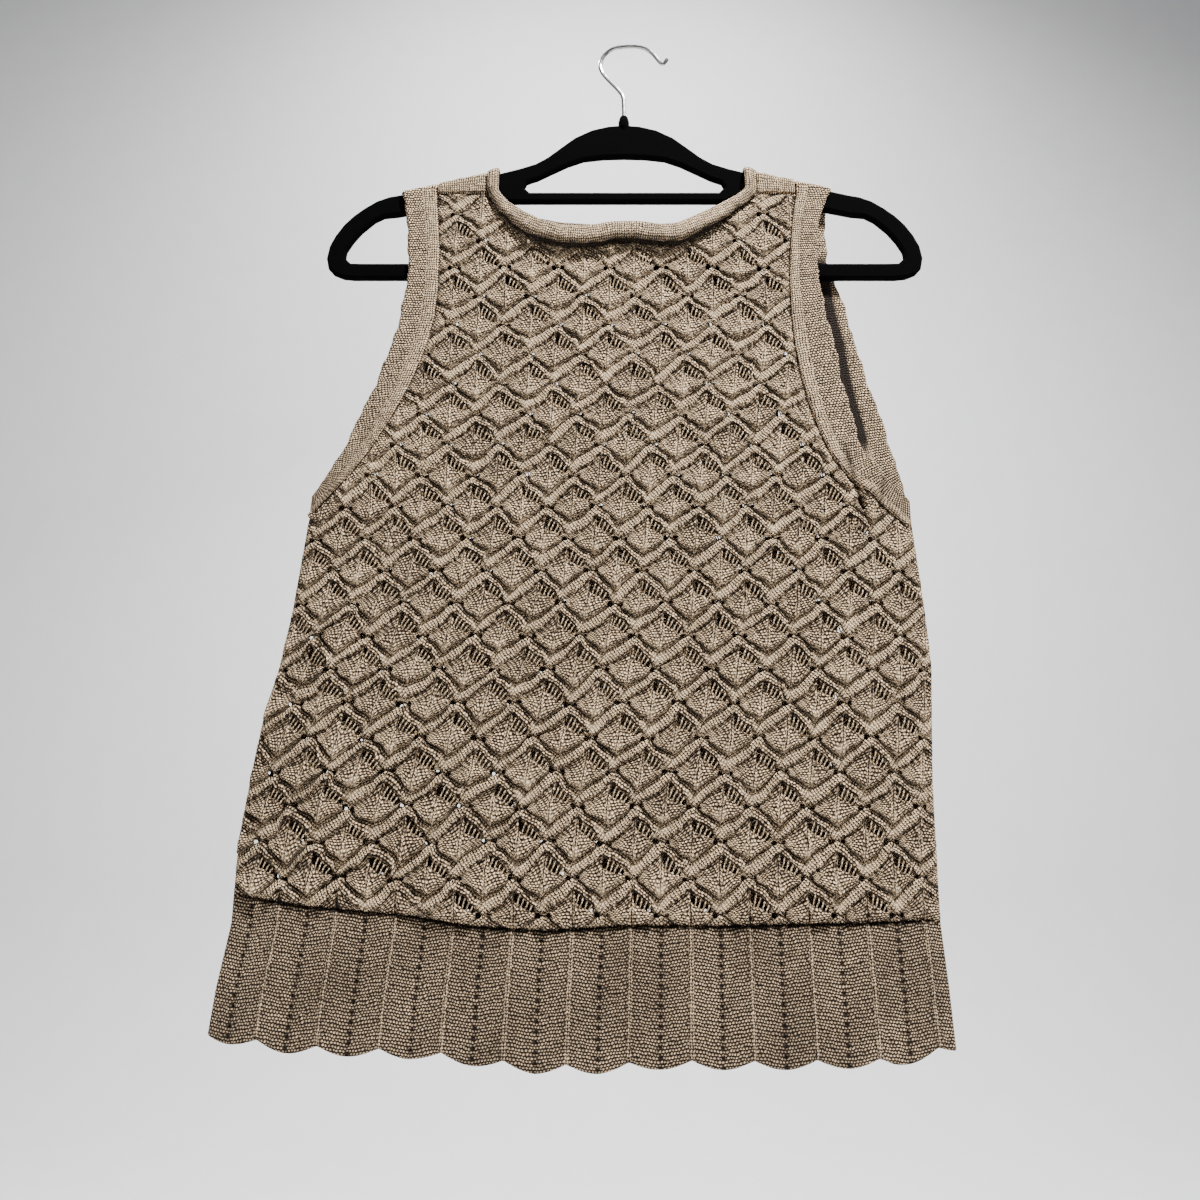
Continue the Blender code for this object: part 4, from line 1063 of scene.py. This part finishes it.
# ---- stage and camera
# A pale sweep well below and behind the garment, soft light from above and a
# little from the left, and the camera at the photograph's low, close angle.
sweep_section = [(-2.6, -1.32)] + [(1.5 + 0.5 * sin(a), -0.82 - 0.5 * cos(a))
                                   for a in np.linspace(0, pi / 2, 12)] + [(2.0, 2.4)]
sweep_mesh = bpy.data.meshes.new("sweep")
sweep_mesh.from_pydata([(x, y, z) for y, z in sweep_section for x in (-4.0, 4.0)], [],
                       [(2 * i, 2 * i + 1, 2 * i + 3, 2 * i + 2)
                        for i in range(len(sweep_section) - 1)])
sweep = bpy.data.objects.new("sweep", sweep_mesh)
bpy.context.scene.collection.objects.link(sweep)
paper, tree, shader = new_material("pale_paper", 0.9)
tree.links.new(colour_mix(tree, grain(tree, 0.08), (0.80, 0.80, 0.81), (0.86, 0.86, 0.87)),
               shader.inputs["Base Color"])
sweep_mesh.materials.append(paper)
sweep_mesh.polygons.foreach_set("use_smooth", [True] * len(sweep_mesh.polygons))

# places, aims and sizes of the lights and the camera are in metres
for name, place, aim, watts, size in (
        ("key", (0.6, -0.72, 1.2), (0, 0, -0.45), 120, 0.16),
        ("fill", (-1.2, -1.4, 0.2), (0, 0, -0.4), 3.5, 1.2),
        ("sweep_wash", (0, 0.7, 1.9), (0, 2.0, -0.3), 60, 1.5),
        ("behind", (-0.55, 0.75, 1.15), (0, 0, -0.45), 50, 0.2),
        ("behind_fill", (0.9, 1.6, 0.1), (0, 0, -0.4), 2, 1.4)):
    lamp = bpy.data.lights.new(name, "AREA")
    lamp.energy = watts
    lamp.size = size
    holder = bpy.data.objects.new(name, lamp)
    holder.location = place
    holder.rotation_euler = (Vector(aim) - Vector(place)).to_track_quat("-Z", "Y").to_euler()
    bpy.context.scene.collection.objects.link(holder)
world = bpy.data.worlds.new("soft_room")
bpy.context.scene.world = world
world.use_nodes = True
world.node_tree.nodes["Background"].inputs["Color"].default_value = (0.95, 0.97, 1.0, 1.0)
world.node_tree.nodes["Background"].inputs["Strength"].default_value = 0.12

lens = bpy.data.cameras.new("camera")
lens.lens = 27.03
lens.sensor_width = 36
camera = bpy.data.objects.new("camera", lens)
camera.location = (-0.0185, -0.60746, -0.57984)
camera.rotation_euler = (radians(102.2), 0, 0)
bpy.context.scene.collection.objects.link(camera)
bpy.context.scene.camera = camera
